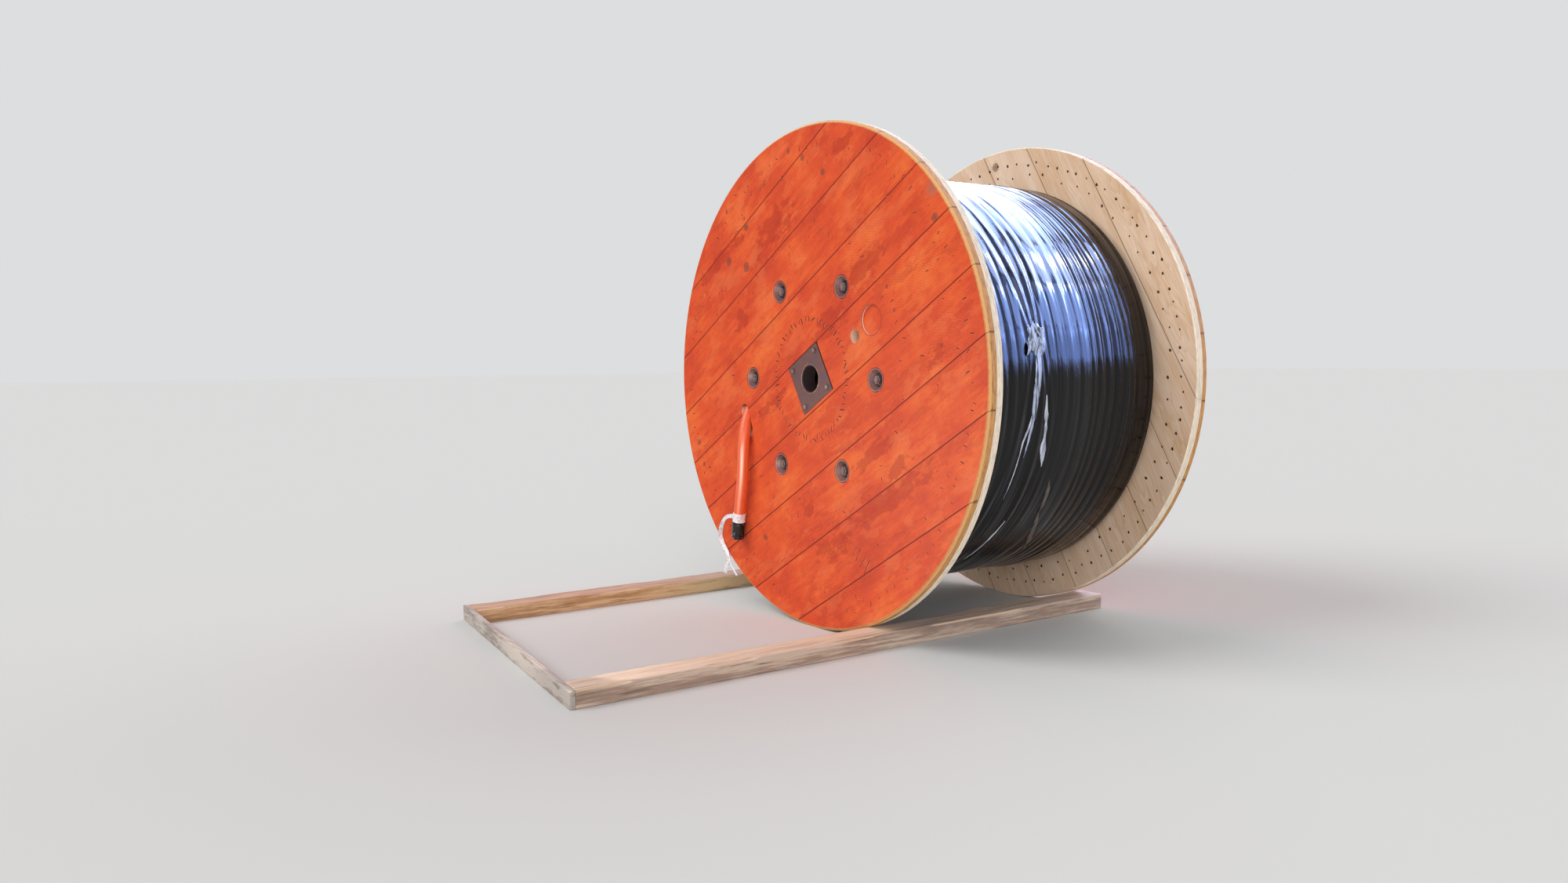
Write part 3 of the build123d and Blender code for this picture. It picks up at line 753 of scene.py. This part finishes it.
class DRUM_OT_duct_tail(bpy.types.Operator):
    """Lays the free end of the duct from the slot, down over the flange, with its cap and tape"""

    bl_idname = "drum.duct_tail"
    bl_label = "Duct tail"

    CAP_LENGTH, CAP_RADIUS = 0.092, 0.0328
    BAND_LENGTH, BAND_RADIUS, BAND_TURNS = 0.046, 0.0325, 4
    MOUTH_RADIUS = 0.0303

    def execute(self, context):
        diameter = context.scene.drum_sizes.duct_diameter
        points = route_points(TAIL_ROUTE)
        end = (points[-1] - points[-2]).normalized()
        start = points[0] - (points[1] - points[0]).normalized() * 0.022
        run = [start] + points[1:-1] + [points[-1] - end * 0.006]
        tail = route_curve("duct_tail_bend", run, diameter / 2, 16)
        line = curve_line(run, 16)
        pointing = (line[-1] - line[-2]).normalized()
        base, up = line[-1] + pointing * 0.006, -pointing
        cap = self.sleeve("moulded_end_cap", base, up, 0.0, self.CAP_LENGTH, self.CAP_RADIUS, [
            (self.CAP_LENGTH - 0.0165, self.CAP_LENGTH - 0.0015, 0.0010)], 48)
        finish_piece(cap, "cap", "black_cap", "duct_end_cap")
        turn = self.BAND_LENGTH / self.BAND_TURNS
        ridges = [(turn * k + 0.0008, turn * k + turn * 0.80, 0.0005 + 0.0003 * (k % 2))
                  for k in range(self.BAND_TURNS)]
        band = self.sleeve("binding_turns", base, up, self.CAP_LENGTH + 0.0006, self.BAND_LENGTH,
                           self.BAND_RADIUS, ridges, 72)
        for vertex in band.data.vertices:
            rise = (vertex.co - base).dot(up)
            outward = (vertex.co - base - up * rise).normalized()
            vertex.co += outward * noise.noise(vertex.co * 90.0) * 0.0009
        finish_piece(band, "tape", "white_tape", "binding_tape")
        wrap = self.cap_wrap(base, up)
        finish_piece(wrap, "clear_wrap", "white_tape")
        finish_piece(tail, "duct", "orange_duct", "duct_tail")
        return {"FINISHED"}

    def sleeve(self, name, base, up, start, length, radius, ridges, sides):
        """A tube from start to start + length over its base, with ridges drawn out of its wall."""
        low = base + up * start
        piece = primitive(
            name, bpy.ops.mesh.primitive_cylinder_add, vertices=sides, radius=radius, depth=length,
            location=low + up * length / 2, rotation=Vector((0, 0, 1)).rotation_difference(up).to_euler())

        def level(face):
            return (face.calc_center_median() - low).dot(up)

        bpy.ops.object.mode_set(mode="EDIT")
        for first, last, _ in ridges:
            cut(low + up * first, up)
            cut(low + up * last, up)
        for first, last, height in ridges:
            pick_faces(piece, lambda face: first < level(face) < last and abs(face.normal.dot(up)) < 0.5)
            bpy.ops.mesh.extrude_region_shrink_fatten(TRANSFORM_OT_shrink_fatten={"value": height})
        # The mouth goes in round the duct; the cap's blind end is rounded
        pick_faces(piece, lambda face: face.normal.dot(up) > 0.9 and level(face) > length - 0.0001)
        bpy.ops.mesh.inset(thickness=radius - self.MOUTH_RADIUS)
        bpy.ops.mesh.extrude_region_move(TRANSFORM_OT_translate={"value": up * -0.004})
        if start == 0:
            pick_faces(piece, lambda face: face.normal.dot(up) < -0.9 and level(face) < 0.0001)
            bpy.ops.mesh.bevel(offset=0.006, segments=3, affect="EDGES")
        bpy.ops.object.mode_set(mode="OBJECT")
        bpy.ops.object.shade_smooth_by_angle(angle=math.radians(35))
        return piece

    def cap_wrap(self, base, up):
        """Clear film gathered round the cap and tied under the binding."""
        rows, sides = 26, 64
        side = up.orthogonal().normalized()
        other = up.cross(side)
        points = []
        for i in range(rows + 1):
            height = 0.003 + i * 0.100 / rows
            for k in range(sides):
                angle = math.tau * k / sides
                out = side * math.cos(angle) + other * math.sin(angle)
                spot = base + up * height + out * 0.034
                crease = abs(noise.noise(spot * 55.0)) * 0.0040 + abs(noise.noise(spot * 120.0)) * 0.0016
                points.append(spot + out * (crease + 0.0006 * math.sin(i * 1.3)))
        return mesh_piece("cap_wrap", points, grid_faces(rows + 1, sides, row_closes=True))


class DRUM_OT_tape_end(bpy.types.Operator):
    """Hangs the tape's loose end from the binding as a thin twisted ribbon"""

    bl_idname = "drum.tape_end"
    bl_label = "Tape end"

    # The ribbon's outline: shares of its width across it and through it
    OUTLINE = [(-0.5, 0.0), (-0.3, 0.055), (0.0, 0.075), (0.3, 0.055), (0.5, 0.0), (0.3, 0.015), (0.0, 0.035),
               (-0.3, 0.015)]

    def execute(self, context):
        width = context.scene.drum_sizes.tape_width
        line = curve_line(route_points(TAPE_ROUTE), 12)
        points = []
        for i, place in enumerate(line):
            heading = (line[min(i + 1, len(line) - 1)] - line[max(i - 1, 0)]).normalized()
            flat = Vector((0.70, -0.71, 0.0)).cross(heading).normalized()
            flat = Matrix.Rotation(0.1 + 0.45 * math.sin(i * 0.09), 3, heading) @ flat
            lift = heading.cross(flat)
            spread = width * (1.0 + 0.35 * max(0.0, i / len(line) - 0.72) / 0.28)
            points += [place + flat * (a * spread) - lift * (b * width) for a, b in self.OUTLINE]
        count = len(self.OUTLINE)
        faces = grid_faces(len(line), count, row_closes=True)
        faces += [tuple(range(count)), tuple(reversed(range((len(line) - 1) * count, len(line) * count)))]
        ribbon = mesh_piece("tape_ribbon", points, faces)
        turn_outwards(ribbon)
        finish_piece(ribbon, "tape", "white_tape", "tape_tail")
        self.knot(line)
        return {"FINISHED"}

    def knot(self, line):
        """The overhand knot where the ribbon crosses itself, with the tape's other end below it."""
        middle = min(line, key=lambda p: (p - Vector((-0.728, NEAR_FACE - 0.012, AXIS.z - 0.942))).length)
        knot = primitive("tape_knot", bpy.ops.mesh.primitive_uv_sphere_add, segments=20, ring_count=12,
                         radius=0.014, location=middle)
        for vertex in knot.data.vertices:
            away = vertex.co - middle
            away.y *= 0.55
            away *= 1.0 + 0.45 * noise.noise(away * 95.0 + Vector((3, 1, 7)))
            vertex.co = middle + away
        bpy.ops.object.mode_set(mode="EDIT")
        corner = middle + Vector((0.002, 0.0, -0.005))
        pick_faces(knot, lambda face: face.calc_center_median().x > corner.x
                   and face.calc_center_median().z < corner.z)
        for step in range(6):
            bpy.ops.mesh.extrude_region_move(TRANSFORM_OT_translate={
                "value": (0.007 + 0.003 * step, -0.001, -0.015)})
            bpy.ops.transform.resize(value=(0.95, 0.75, 0.95))
        bpy.ops.object.mode_set(mode="OBJECT")
        bpy.ops.object.shade_smooth()
        return finish_piece(knot, "tape", "white_tape")


class DRUM_OT_film(bpy.types.Operator):
    """Wraps the winding in stretch film, tight above and hanging clear of it below"""

    bl_idname = "drum.film"
    bl_label = "Stretch film"

    AROUND, ALONG = 420, 196
    HALF = (FAR_INSIDE - NEAR_INSIDE) / 2 - 0.006
    CROWN, SHOULDER = 0.9815, 0.9215
    # The wrap's ends: how wide the shoulder lies flat, how wide it climbs, and where the top layer starts
    END_FLAT, END_CLIMB, TOP_LAYER = 0.006, 0.039, 0.056
    # The film stays outside the winding, whose top layer has a radius of 0.9748 m
    LEAST_RADIUS = 0.9757
    # Turns of duct that bulge in the film: where each one ends along the axis from mid width,
    # and how deep the film dips there, in metres
    GROOVES = [
        (-0.660, 0.0), (-0.612, 0.003), (-0.556, 0.005), (-0.497, 0.005), (-0.440, 0.004), (-0.378, 0.0045),
        (-0.325, 0.0035), (-0.268, 0.003), (-0.205, 0.002), (-0.148, 0.002), (-0.082, 0.0035),
        (-0.012, 0.0014), (0.070, 0.0016), (0.147, 0.0030), (0.187, 0.0050), (0.238, 0.0060),
        (0.296, 0.0065), (0.352, 0.0065), (0.408, 0.0050), (0.440, 0.0030), (0.532, 0.0030),
        (0.570, 0.0030), (0.660, 0.004),
    ]
    # Folds that run into the tear: place along at a distance from it, height and half width
    FOLDS = [
        (-0.345, 0.0032, 0.020), (-0.300, -0.0022, 0.016), (-0.262, 0.0034, 0.018), (-0.225, -0.0026, 0.014),
        (-0.165, 0.0036, 0.020), (-0.118, -0.0026, 0.016), (-0.070, 0.0026, 0.022),
    ]
    TEAR_ANGLE, TEAR_ALONG = math.radians(10.0), -0.205
    # Film that has let go below the tear, in slivers, the pale ones with a painted highlight: finish, how far each
    # one stands off, and its line of (angle in degrees, along, half width)
    SLIVERS = [
        ("milky_film", 0.006, [
            (-4.0, -0.150, 0.002), (-9.0, -0.143, 0.012), (-12.0, -0.136, 0.006), (-15.0, -0.132, 0.005),
            (-18.0, -0.128, 0.018), (-23.0, -0.106, 0.002)]),
        ("milky_film", 0.004, [
            (-7.0, -0.228, 0.001), (-11.0, -0.240, 0.006), (-16.0, -0.262, 0.003), (-25.0, -0.268, 0.002),
            (-32.0, -0.270, 0.0015)]),
        ("torn_film", 0.003, [
            (-27.0, -0.020, 0.001), (-31.0, 0.004, 0.014), (-36.0, 0.018, 0.010), (-38.0, 0.020, 0.002),
            (-42.0, 0.050, 0.016), (-50.0, 0.110, 0.014), (-57.0, 0.170, 0.001)]),
        ("milky_film", 0.003, [(-40.0, -0.175, 0.0020), (-48.0, -0.188, 0.0050), (-58.0, -0.205, 0.0020)]),
        ("bunched_film", 0.007, [
            (10.0, -0.192, 0.002), (4.0, -0.203, 0.018), (-2.0, -0.212, 0.024), (-8.0, -0.221, 0.017),
            (-14.0, -0.230, 0.008), (-20.0, -0.238, 0.001)]),
    ]

    def execute(self, context):
        points = []
        for i in range(self.AROUND):
            angle = math.tau * i / self.AROUND
            for j in range(self.ALONG + 1):
                along = -self.HALF + 2 * self.HALF * j / self.ALONG
                points.append(self.place(angle, along, self.radius(angle, along)))
        film = mesh_piece("film_wrap", points, grid_faces(self.AROUND, self.ALONG + 1, rows_close=True))
        finish_piece(film, "film", "stretch_film", "stretch_film")
        self.tuft()
        for number, sliver in enumerate(self.SLIVERS, 1):
            self.strip(f"film_sliver_{number}", *sliver)
        return {"FINISHED"}

    def place(self, angle, along, radius):
        return Vector((radius * math.cos(angle), AXIS.y + along, AXIS.z + radius * math.sin(angle)))

    def radius(self, angle, along):
        """Distance of the film from the axis; angle is 0 at +X and a quarter turn at the top."""
        edge = self.HALF - abs(along)
        slope = min(max((edge - self.END_FLAT) / self.END_CLIMB, 0.0), 1.0)
        rise = 1 - (1 - slope) ** 1.6
        base = self.SHOULDER + (self.CROWN - self.SHOULDER) * rise
        slack = 0.5 - 0.5 * math.sin(angle)
        hang = bpy.context.scene.drum_sizes.film_sag * slack
        # A long swell before the far shoulder, so that its last hand's breadth leans outwards
        swell = 0.006 * math.exp(-((along - 0.40) / 0.09) ** 2)
        around = Vector((math.cos(angle), math.sin(angle), 0.0))
        drift = noise.noise(around * 1.1 + Vector((5, 2, along * 3.0))) * 0.012
        grooves = 0.0
        for (start, _), (end, height) in zip(self.GROOVES, self.GROOVES[1:]):
            across = (along - start - drift) / (end - start)
            if 0 <= across < 1:
                grooves = -height * (2 * across - 1) ** 2
        grooves *= 1.0 - 0.3 * slack
        away = abs((angle - self.TEAR_ANGLE + math.pi) % math.tau - math.pi)
        spread = min(1.0, away / 0.75) ** 0.7
        folds, strength = 0.0, math.exp(-(away / 1.25) ** 2)
        for middle, height, width in self.FOLDS:
            line = self.TEAR_ALONG + (middle - self.TEAR_ALONG) * (0.18 + 0.82 * spread)
            off = abs(along - line - drift * 0.6)
            if off < width:
                folds += height * strength * (1 - off / width)
        fine = noise.noise(around * 2.4 + Vector((0, 0, along * 30.0))) * 0.0020
        fine += noise.noise(around * 3.2 + Vector((7, 3, along * 75.0))) * 0.0009
        bulge = noise.noise(around * 1.6 + Vector((1, 9, along * 4.0))) * 0.0045
        radius = base + hang + swell * rise + (grooves + folds + fine + bulge) * (0.3 + 0.7 * rise)
        return max(radius, self.LEAST_RADIUS if edge > self.TOP_LAYER else self.SHOULDER - 0.001)

    def strip(self, name, finish, lift, outline):
        """A strip of film along its line, lying on the wrap."""
        steps, wide = 26, 5
        points = []
        for i in range(steps + 1):
            t = i / steps * (len(outline) - 1)
            k = min(int(t), len(outline) - 2)
            degrees, along, width = [a + (b - a) * (t - k) for a, b in zip(outline[k], outline[k + 1])]
            for j in range(wide):
                side = (j / (wide - 1) - 0.5) * 2
                angle, across = math.radians(degrees), along + side * width
                radius = self.radius(angle, across) + 0.0012
                radius += lift * (1 - side * side) * math.sin(math.pi * i / steps)
                radius += noise.noise(Vector((degrees * 0.6, side * 2, len(name)))) * lift * 0.5
                points.append(self.place(angle, across, radius))
        strip = mesh_piece(name, points, [(a, d, c, b) for a, b, c, d in grid_faces(steps + 1, wide)])
        solid = strip.modifiers.new("thickness", "SOLIDIFY")
        solid.thickness = 0.0008
        solid.offset = 0.0
        make_active(strip)
        bpy.ops.object.modifier_apply(modifier="thickness")
        finish_piece(strip, finish, "stretch_film")
        width = sum((points[i * wide] - points[i * wide + wide - 1]).length for i in range(steps + 1)) / (steps + 1)

    def tuft(self):
        """The crumpled bunch at the tear, where the folds meet; its pale blue-white is a painted highlight."""
        wide, tall = 60, 74
        points = []
        for i in range(tall + 1):
            v = 2 * i / tall - 1
            for j in range(wide + 1):
                u = 2 * j / wide - 1
                angle = self.TEAR_ANGLE + v * 0.092
                along = self.TEAR_ALONG + u * 0.056 + v * 0.018
                reach = math.hypot(u, v)
                if reach > 0:
                    reach *= 0.98 + 0.80 * noise.noise(Vector((u / reach * 1.6, v / reach * 1.6, 6.0)))
                round_fade = max(0.0, 1 - reach ** 2)
                spot = Vector((u * 3.0 - v * 0.9, v * 0.9, 4.0))
                crumple = abs(noise.noise(spot)) * 0.026 + abs(noise.noise(spot * 2.3)) * 0.011
                crumple += noise.noise(spot * 5.0) * 0.003
                ridge = 0.012 * math.exp(-((u - 0.25 * v) / 0.22) ** 2)
                radius = self.radius(angle, along)
                radius += (crumple + ridge) * round_fade - 0.0025 * (1 - round_fade)
                points.append(self.place(angle, along, radius))
        bunch = mesh_piece("film_bunch", points, grid_faces(tall + 1, wide + 1))
        finish_piece(bunch, "bunched_film", "stretch_film")


class DRUM_OT_nails(bpy.types.Operator):
    """Drives the nails of both flanges: short dark dents with lips, in rings and odd places; in the paint the dark
    dent is painted shade and the pale lip a painted highlight
    """

    bl_idname = "drum.nails"
    bl_label = "Nails"

    # Finishes of the head and of the lip, and the slot that they take it from; in the paint the head's dark is
    # painted shade and the lip's pale a painted highlight
    PAINTED = ("nail_dent_painted_shade", "lip_painted_highlight", "painted_pine")
    BARE = ("bare_nail", "bare_lip", "bare_pine")
    # Half length and half width of a dent in paint, of a scratch and of a dent in bare wood
    PAINTED_DENT, SCRATCH, BARE_DENT = (0.0125, 0.0031), (0.036, 0.0024), (0.0090, 0.0052)
    # No nail stands in the slot, behind the duct's tail, in the pocket, the drive hole or a cup
    BLOCKED = [((-0.55, -0.3), 0.10), ((-0.53, -0.55), 0.05), ((0.461, 0.267), 0.085), ((0.343, 0.198), 0.05)]
    BLOCKED += [(centre, 0.07) for centre in CUP_CENTRES]
    SCRATCHES = [
        ((0.335, -0.785), 58, 0.8), ((0.362, -0.800), 62, 1.1), ((0.392, -0.832), 52, 0.9),
        ((0.425, -0.848), 60, 1.2), ((0.452, -0.872), 66, 0.7), ((0.300, -0.640), 20, 0.6),
        ((-0.235, -0.905), 35, 0.7), ((0.080, 0.690), 28, 0.6),
    ]

    def execute(self, context):
        chance = random.Random(17)
        outer = [(0.284, math.tau * (k + chance.uniform(-0.2, 0.2)) / 60, 1.18) for k in range(60)]
        for radius, count, spread, kept in ((0.675, 52, 0.014, 0.72), (1.098, 104, 0.012, 0.93),
                                            (1.035, 52, 0.022, 0.55), (0.88, 34, 0.09, 0.5)):
            for k in range(count):
                if chance.random() < kept:
                    outer.append((radius + chance.gauss(0, spread),
                                  math.tau * (k + chance.uniform(-0.3, 0.3)) / count, chance.uniform(0.6, 1.0)))
        marks = []
        for radius, angle, size in outer:
            spot = Vector(polar(radius, angle))
            if all((spot - Vector(middle)).length > room for middle, room in self.BLOCKED):
                spot *= 1.0 + chance.gauss(0, 0.004) / radius
                marks.append((spot, angle + chance.gauss(0, 0.42), size * chance.uniform(0.65, 1.2)))
        self.drive("near_face_nails", marks, NEAR_FACE, -1, self.PAINTED, *self.PAINTED_DENT)
        self.drive("far_face_nails", marks, FAR_FACE, 1, self.PAINTED, *self.PAINTED_DENT)
        # Scratches are drawn as dents: a dark line of painted shade with a pale lip of painted highlight below it
        scratches = [(Vector(place), math.radians(turn), size) for place, turn, size in self.SCRATCHES]
        self.drive("near_scratches", scratches, NEAR_FACE, -1, self.PAINTED, *self.SCRATCH)
        inner = []
        for radius, count, spread in ((1.118, 100, 0.006), (1.052, 62, 0.008)):
            for k in range(count):
                angle = math.tau * (k + chance.uniform(-0.2, 0.2)) / count
                place = Vector(polar(1.0, angle)) * (radius + chance.gauss(0, spread))
                inner.append((place, math.radians(-62) + chance.gauss(0, 0.3), chance.uniform(0.6, 1.1)))
        self.drive("far_inside_nails", inner, FAR_INSIDE, -1, self.BARE, *self.BARE_DENT)
        self.drive("near_inside_nails", inner, NEAR_INSIDE, 1, self.BARE, *self.BARE_DENT)
        return {"FINISHED"}

    def drive(self, name, marks, level, outward, finishes, half_length, half_width):
        """Copies one nail dent and its lip to every mark, then joins them; in the paint the dent's dark is painted
        shade and the lip, set on its lower side, a painted highlight.
        """
        models = []
        for finish, segments, rings in ((finishes[0], 10, 6), (finishes[1], 6, 4)):
            model = primitive("nail_model", bpy.ops.mesh.primitive_uv_sphere_add, segments=segments,
                              ring_count=rings, radius=1.0, location=(0, 0, 0))
            model.data.materials.append(material(finish))
            # The buried half goes, and the head is hammered flat
            bpy.ops.object.mode_set(mode="EDIT")
            cut((0, 0, -0.2), (0, 0, 1), clear_inner=True, use_fill=True)
            cut((0, 0, 0.8), (0, 0, 1), clear_outer=True, use_fill=True)
            bpy.ops.object.mode_set(mode="OBJECT")
            models.append(model)
        dent, lip = models
        copies = []
        for spot, turn, size in marks:
            heading = Vector((math.cos(turn), 0.0, math.sin(turn)))
            # Beside points up, so the lip sits below the dent, where in the paint its pale is a painted highlight on
            # the lower wall
            beside = Vector((-math.sin(turn), 0.0, math.cos(turn)))
            if beside.z < 0:
                beside.negate()
            for model, shift, long, wide, high in (
                (dent, 0.0, half_length, half_width, 0.0009),
                (lip, -1.15, half_length * 0.7, half_width * 0.38, 0.0012),
            ):
                copy = placed(name, model.data.copy())
                place = Vector((spot.x, level, AXIS.z + spot.y)) + beside * (shift * half_width * size)
                copy.data.transform(pose(
                    heading * long * size, beside * wide * size, Vector((0.0, outward * high, 0.0)), place))
                copies.append(copy)
        for model in models:
            bpy.data.objects.remove(model)
        deselect()
        for copy in copies:
            copy.select_set(True)
        bpy.context.view_layer.objects.active = copies[0]
        bpy.ops.object.join()
        nails = bpy.context.object
        nails.name = name
        turn_outwards(nails)
        bpy.ops.object.shade_smooth()
        finish_piece(nails, finishes[0], finishes[2])


class DRUM_OT_welds(bpy.types.Operator):
    """Runs a lumpy weld bead round the spindle bush of each centre plate"""

    bl_idname = "drum.welds"
    bl_label = "Weld beads"

    def execute(self, context):
        for name, level, outward in (("near_weld", NEAR_FACE, -1), ("far_weld", FAR_FACE, 1)):
            depth = level - outward * 0.0012
            bead = primitive(
                name, bpy.ops.mesh.primitive_torus_add, major_segments=120, minor_segments=8,
                major_radius=BUSH_RADIUS, minor_radius=0.0030, location=(0.0, depth, AXIS.z),
                rotation=(math.radians(90), 0.0, 0.0))
            for vertex in bead.data.vertices:
                turn = math.atan2(vertex.co.z - AXIS.z, vertex.co.x)
                x, z = polar(BUSH_RADIUS, turn)
                middle = Vector((x, depth, AXIS.z + z))
                ripple = 1.0 + 0.28 * math.sin(turn * 46) + 0.5 * noise.noise(vertex.co * 60.0)
                top = max(0.0, math.sin(turn)) ** 6
                vertex.co = middle + (vertex.co - middle) * (ripple + 0.9 * top)
            bpy.ops.object.shade_smooth()
            finish_piece(bead, "weld", "rusty_plate")
        return {"FINISHED"}


class DRUM_OT_timbers(bpy.types.Operator):
    """Makes the two timbers and the cross board with rounded, uneven sawn edges"""

    bl_idname = "drum.timbers"
    bl_label = "Timbers"

    # Name, node, finish, axis of the grain, and how far the surface wears
    TIMBERS = (
        ("near_timber", "near_rail", "near_timber", 1, 0.004),
        ("far_timber", "far_rail", "far_timber", 1, 0.006),
        ("front_board", "cross_board", "cross_timber", 0, 0.003),
    )
    # How near to an edge the wood chips, and how near to a face it wears
    CHIPS, WEARS = 0.012, 0.006

    def execute(self, context):
        for name, node, finish, axis, rough in self.TIMBERS:
            low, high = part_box(node)
            piece = NODES[node].copy()
            piece.data = NODES[node].data.copy()
            for key in list(piece.keys()):
                del piece[key]
            piece.name = name
            piece.parent = None
            context.scene.collection.objects.link(piece)
            piece.hide_render = piece.hide_viewport = False
            make_active(piece)
            bpy.ops.object.mode_set(mode="EDIT")
            bpy.ops.mesh.select_all(action="SELECT")
            bpy.ops.mesh.remove_doubles(threshold=0.0001)
            bpy.ops.mesh.dissolve_limited(angle_limit=math.radians(1))
            bpy.ops.mesh.select_all(action="SELECT")
            bpy.ops.mesh.bevel(offset=0.004, segments=2, affect="EDGES")
            for direction, step in ((axis, 0.022), (1 - axis, 0.024), (2, 0.019)):
                normal = [0.0, 0.0, 0.0]
                normal[direction] = 1.0
                span = high[direction] - low[direction]
                cuts = int(span / step)
                places = [k * span / (cuts + 1) for k in range(1, cuts + 1)]
                if direction != axis:
                    places += [0.009, span - 0.009]
                for place in sorted(places):
                    cut([(low[direction] + place) * share for share in normal], normal)
            bpy.ops.object.mode_set(mode="OBJECT")
            self.wear(piece, low, high, axis, rough)
            piece.data.materials.clear()
            make_active(piece)
            bpy.ops.object.shade_smooth_by_angle(angle=math.radians(40))
            finish_piece(piece, finish, "weathered_timber", node)
        return {"FINISHED"}

    def wear(self, piece, low, high, axis, rough):
        """Wears the long faces down unevenly and chips the long edges."""
        torn = piece.data.attributes.new("torn", "FLOAT", "POINT")
        for index, vertex in enumerate(piece.data.vertices):
            spot = vertex.co.copy()
            spot[axis] *= 0.18
            wear = noise.noise(spot * 26.0) * rough * 0.35 + noise.noise(vertex.co * 60.0) * rough * 0.15
            inward = Vector((0, 0, 0))
            edges = []
            for direction in (1 - axis, 2):
                for side, limit in ((1, low[direction]), (-1, high[direction])):
                    gap = abs(vertex.co[direction] - limit)
                    if gap < self.CHIPS:
                        edges.append(1 - gap / self.CHIPS)
                    if gap < self.WEARS and not (direction == 2 and side == 1):
                        inward[direction] += side
            chip = 0.0
            if len(edges) == 2 and vertex.co.z > 0.03:
                chip = max(0.0, noise.noise(spot * 21.0) - 0.10)
                chip = min(chip * 0.055, 0.010) * min(edges)
            torn.data[index].value = chip * 100
            vertex.co += inward * (abs(wear) + 0.0004 + chip)


class DRUM_OT_finishes(bpy.types.Operator):
    """Puts the wood, steel and plastic finishes on the drum's own parts"""

    bl_idname = "drum.finishes"
    bl_label = "Finishes"

    FINISHES = {
        "near_paint": ["near_outer_board"],
        "far_paint": ["far_outer_board"],
        "inner_pine": ["inner_board", "barrel_former"],
        "stave_pine": ["barrel_staves"],
        "plate": ["spindle_plate"],
        "screw": ["plate_screws"],
        "cup": ["cup_washers"],
        "fastener": ["rod_nuts", "tie_rods"],
        "duct": ["duct_winding"],
    }

    def execute(self, context):
        for name, parts in self.FINISHES.items():
            for part in parts:
                finish_node(part, name)
        return {"FINISHED"}


class DRUM_PT_panel(bpy.types.Panel):
    """Shows the drum's sizes, colours and steps in the sidebar"""

    bl_idname = "DRUM_PT_panel"
    bl_label = "Cable drum"
    bl_space_type = "VIEW_3D"
    bl_region_type = "UI"
    bl_category = "Cable drum"

    def draw(self, context):
        for name in DrumSizes.__annotations__:
            self.layout.prop(context.scene.drum_sizes, name)
        for name in DrumColours.__annotations__:
            self.layout.prop(context.scene.drum_colours, name)
        for operator in OPERATORS:
            self.layout.operator(operator.bl_idname)


OPERATORS = (
    DRUM_OT_stage, DRUM_OT_duct_tail, DRUM_OT_tape_end, DRUM_OT_film, DRUM_OT_nails, DRUM_OT_welds,
    DRUM_OT_timbers, DRUM_OT_finishes,
)


def register():
    for cls in (DrumSizes, DrumColours, *OPERATORS, DRUM_PT_panel):
        bpy.utils.register_class(cls)
    bpy.types.Scene.drum_sizes = bpy.props.PointerProperty(type=DrumSizes)
    bpy.types.Scene.drum_colours = bpy.props.PointerProperty(type=DrumColours)


def unregister():
    del bpy.types.Scene.drum_sizes
    del bpy.types.Scene.drum_colours
    for cls in (DRUM_PT_panel, *reversed(OPERATORS), DrumColours, DrumSizes):
        bpy.utils.unregister_class(cls)


def main():
    register()
    bpy.ops.drum.stage()
    bpy.ops.drum.duct_tail()
    bpy.ops.drum.tape_end()
    bpy.ops.drum.film()
    bpy.ops.drum.nails()
    bpy.ops.drum.welds()
    bpy.ops.drum.timbers()
    bpy.ops.drum.finishes()


if __name__ == "__main__":
    main()
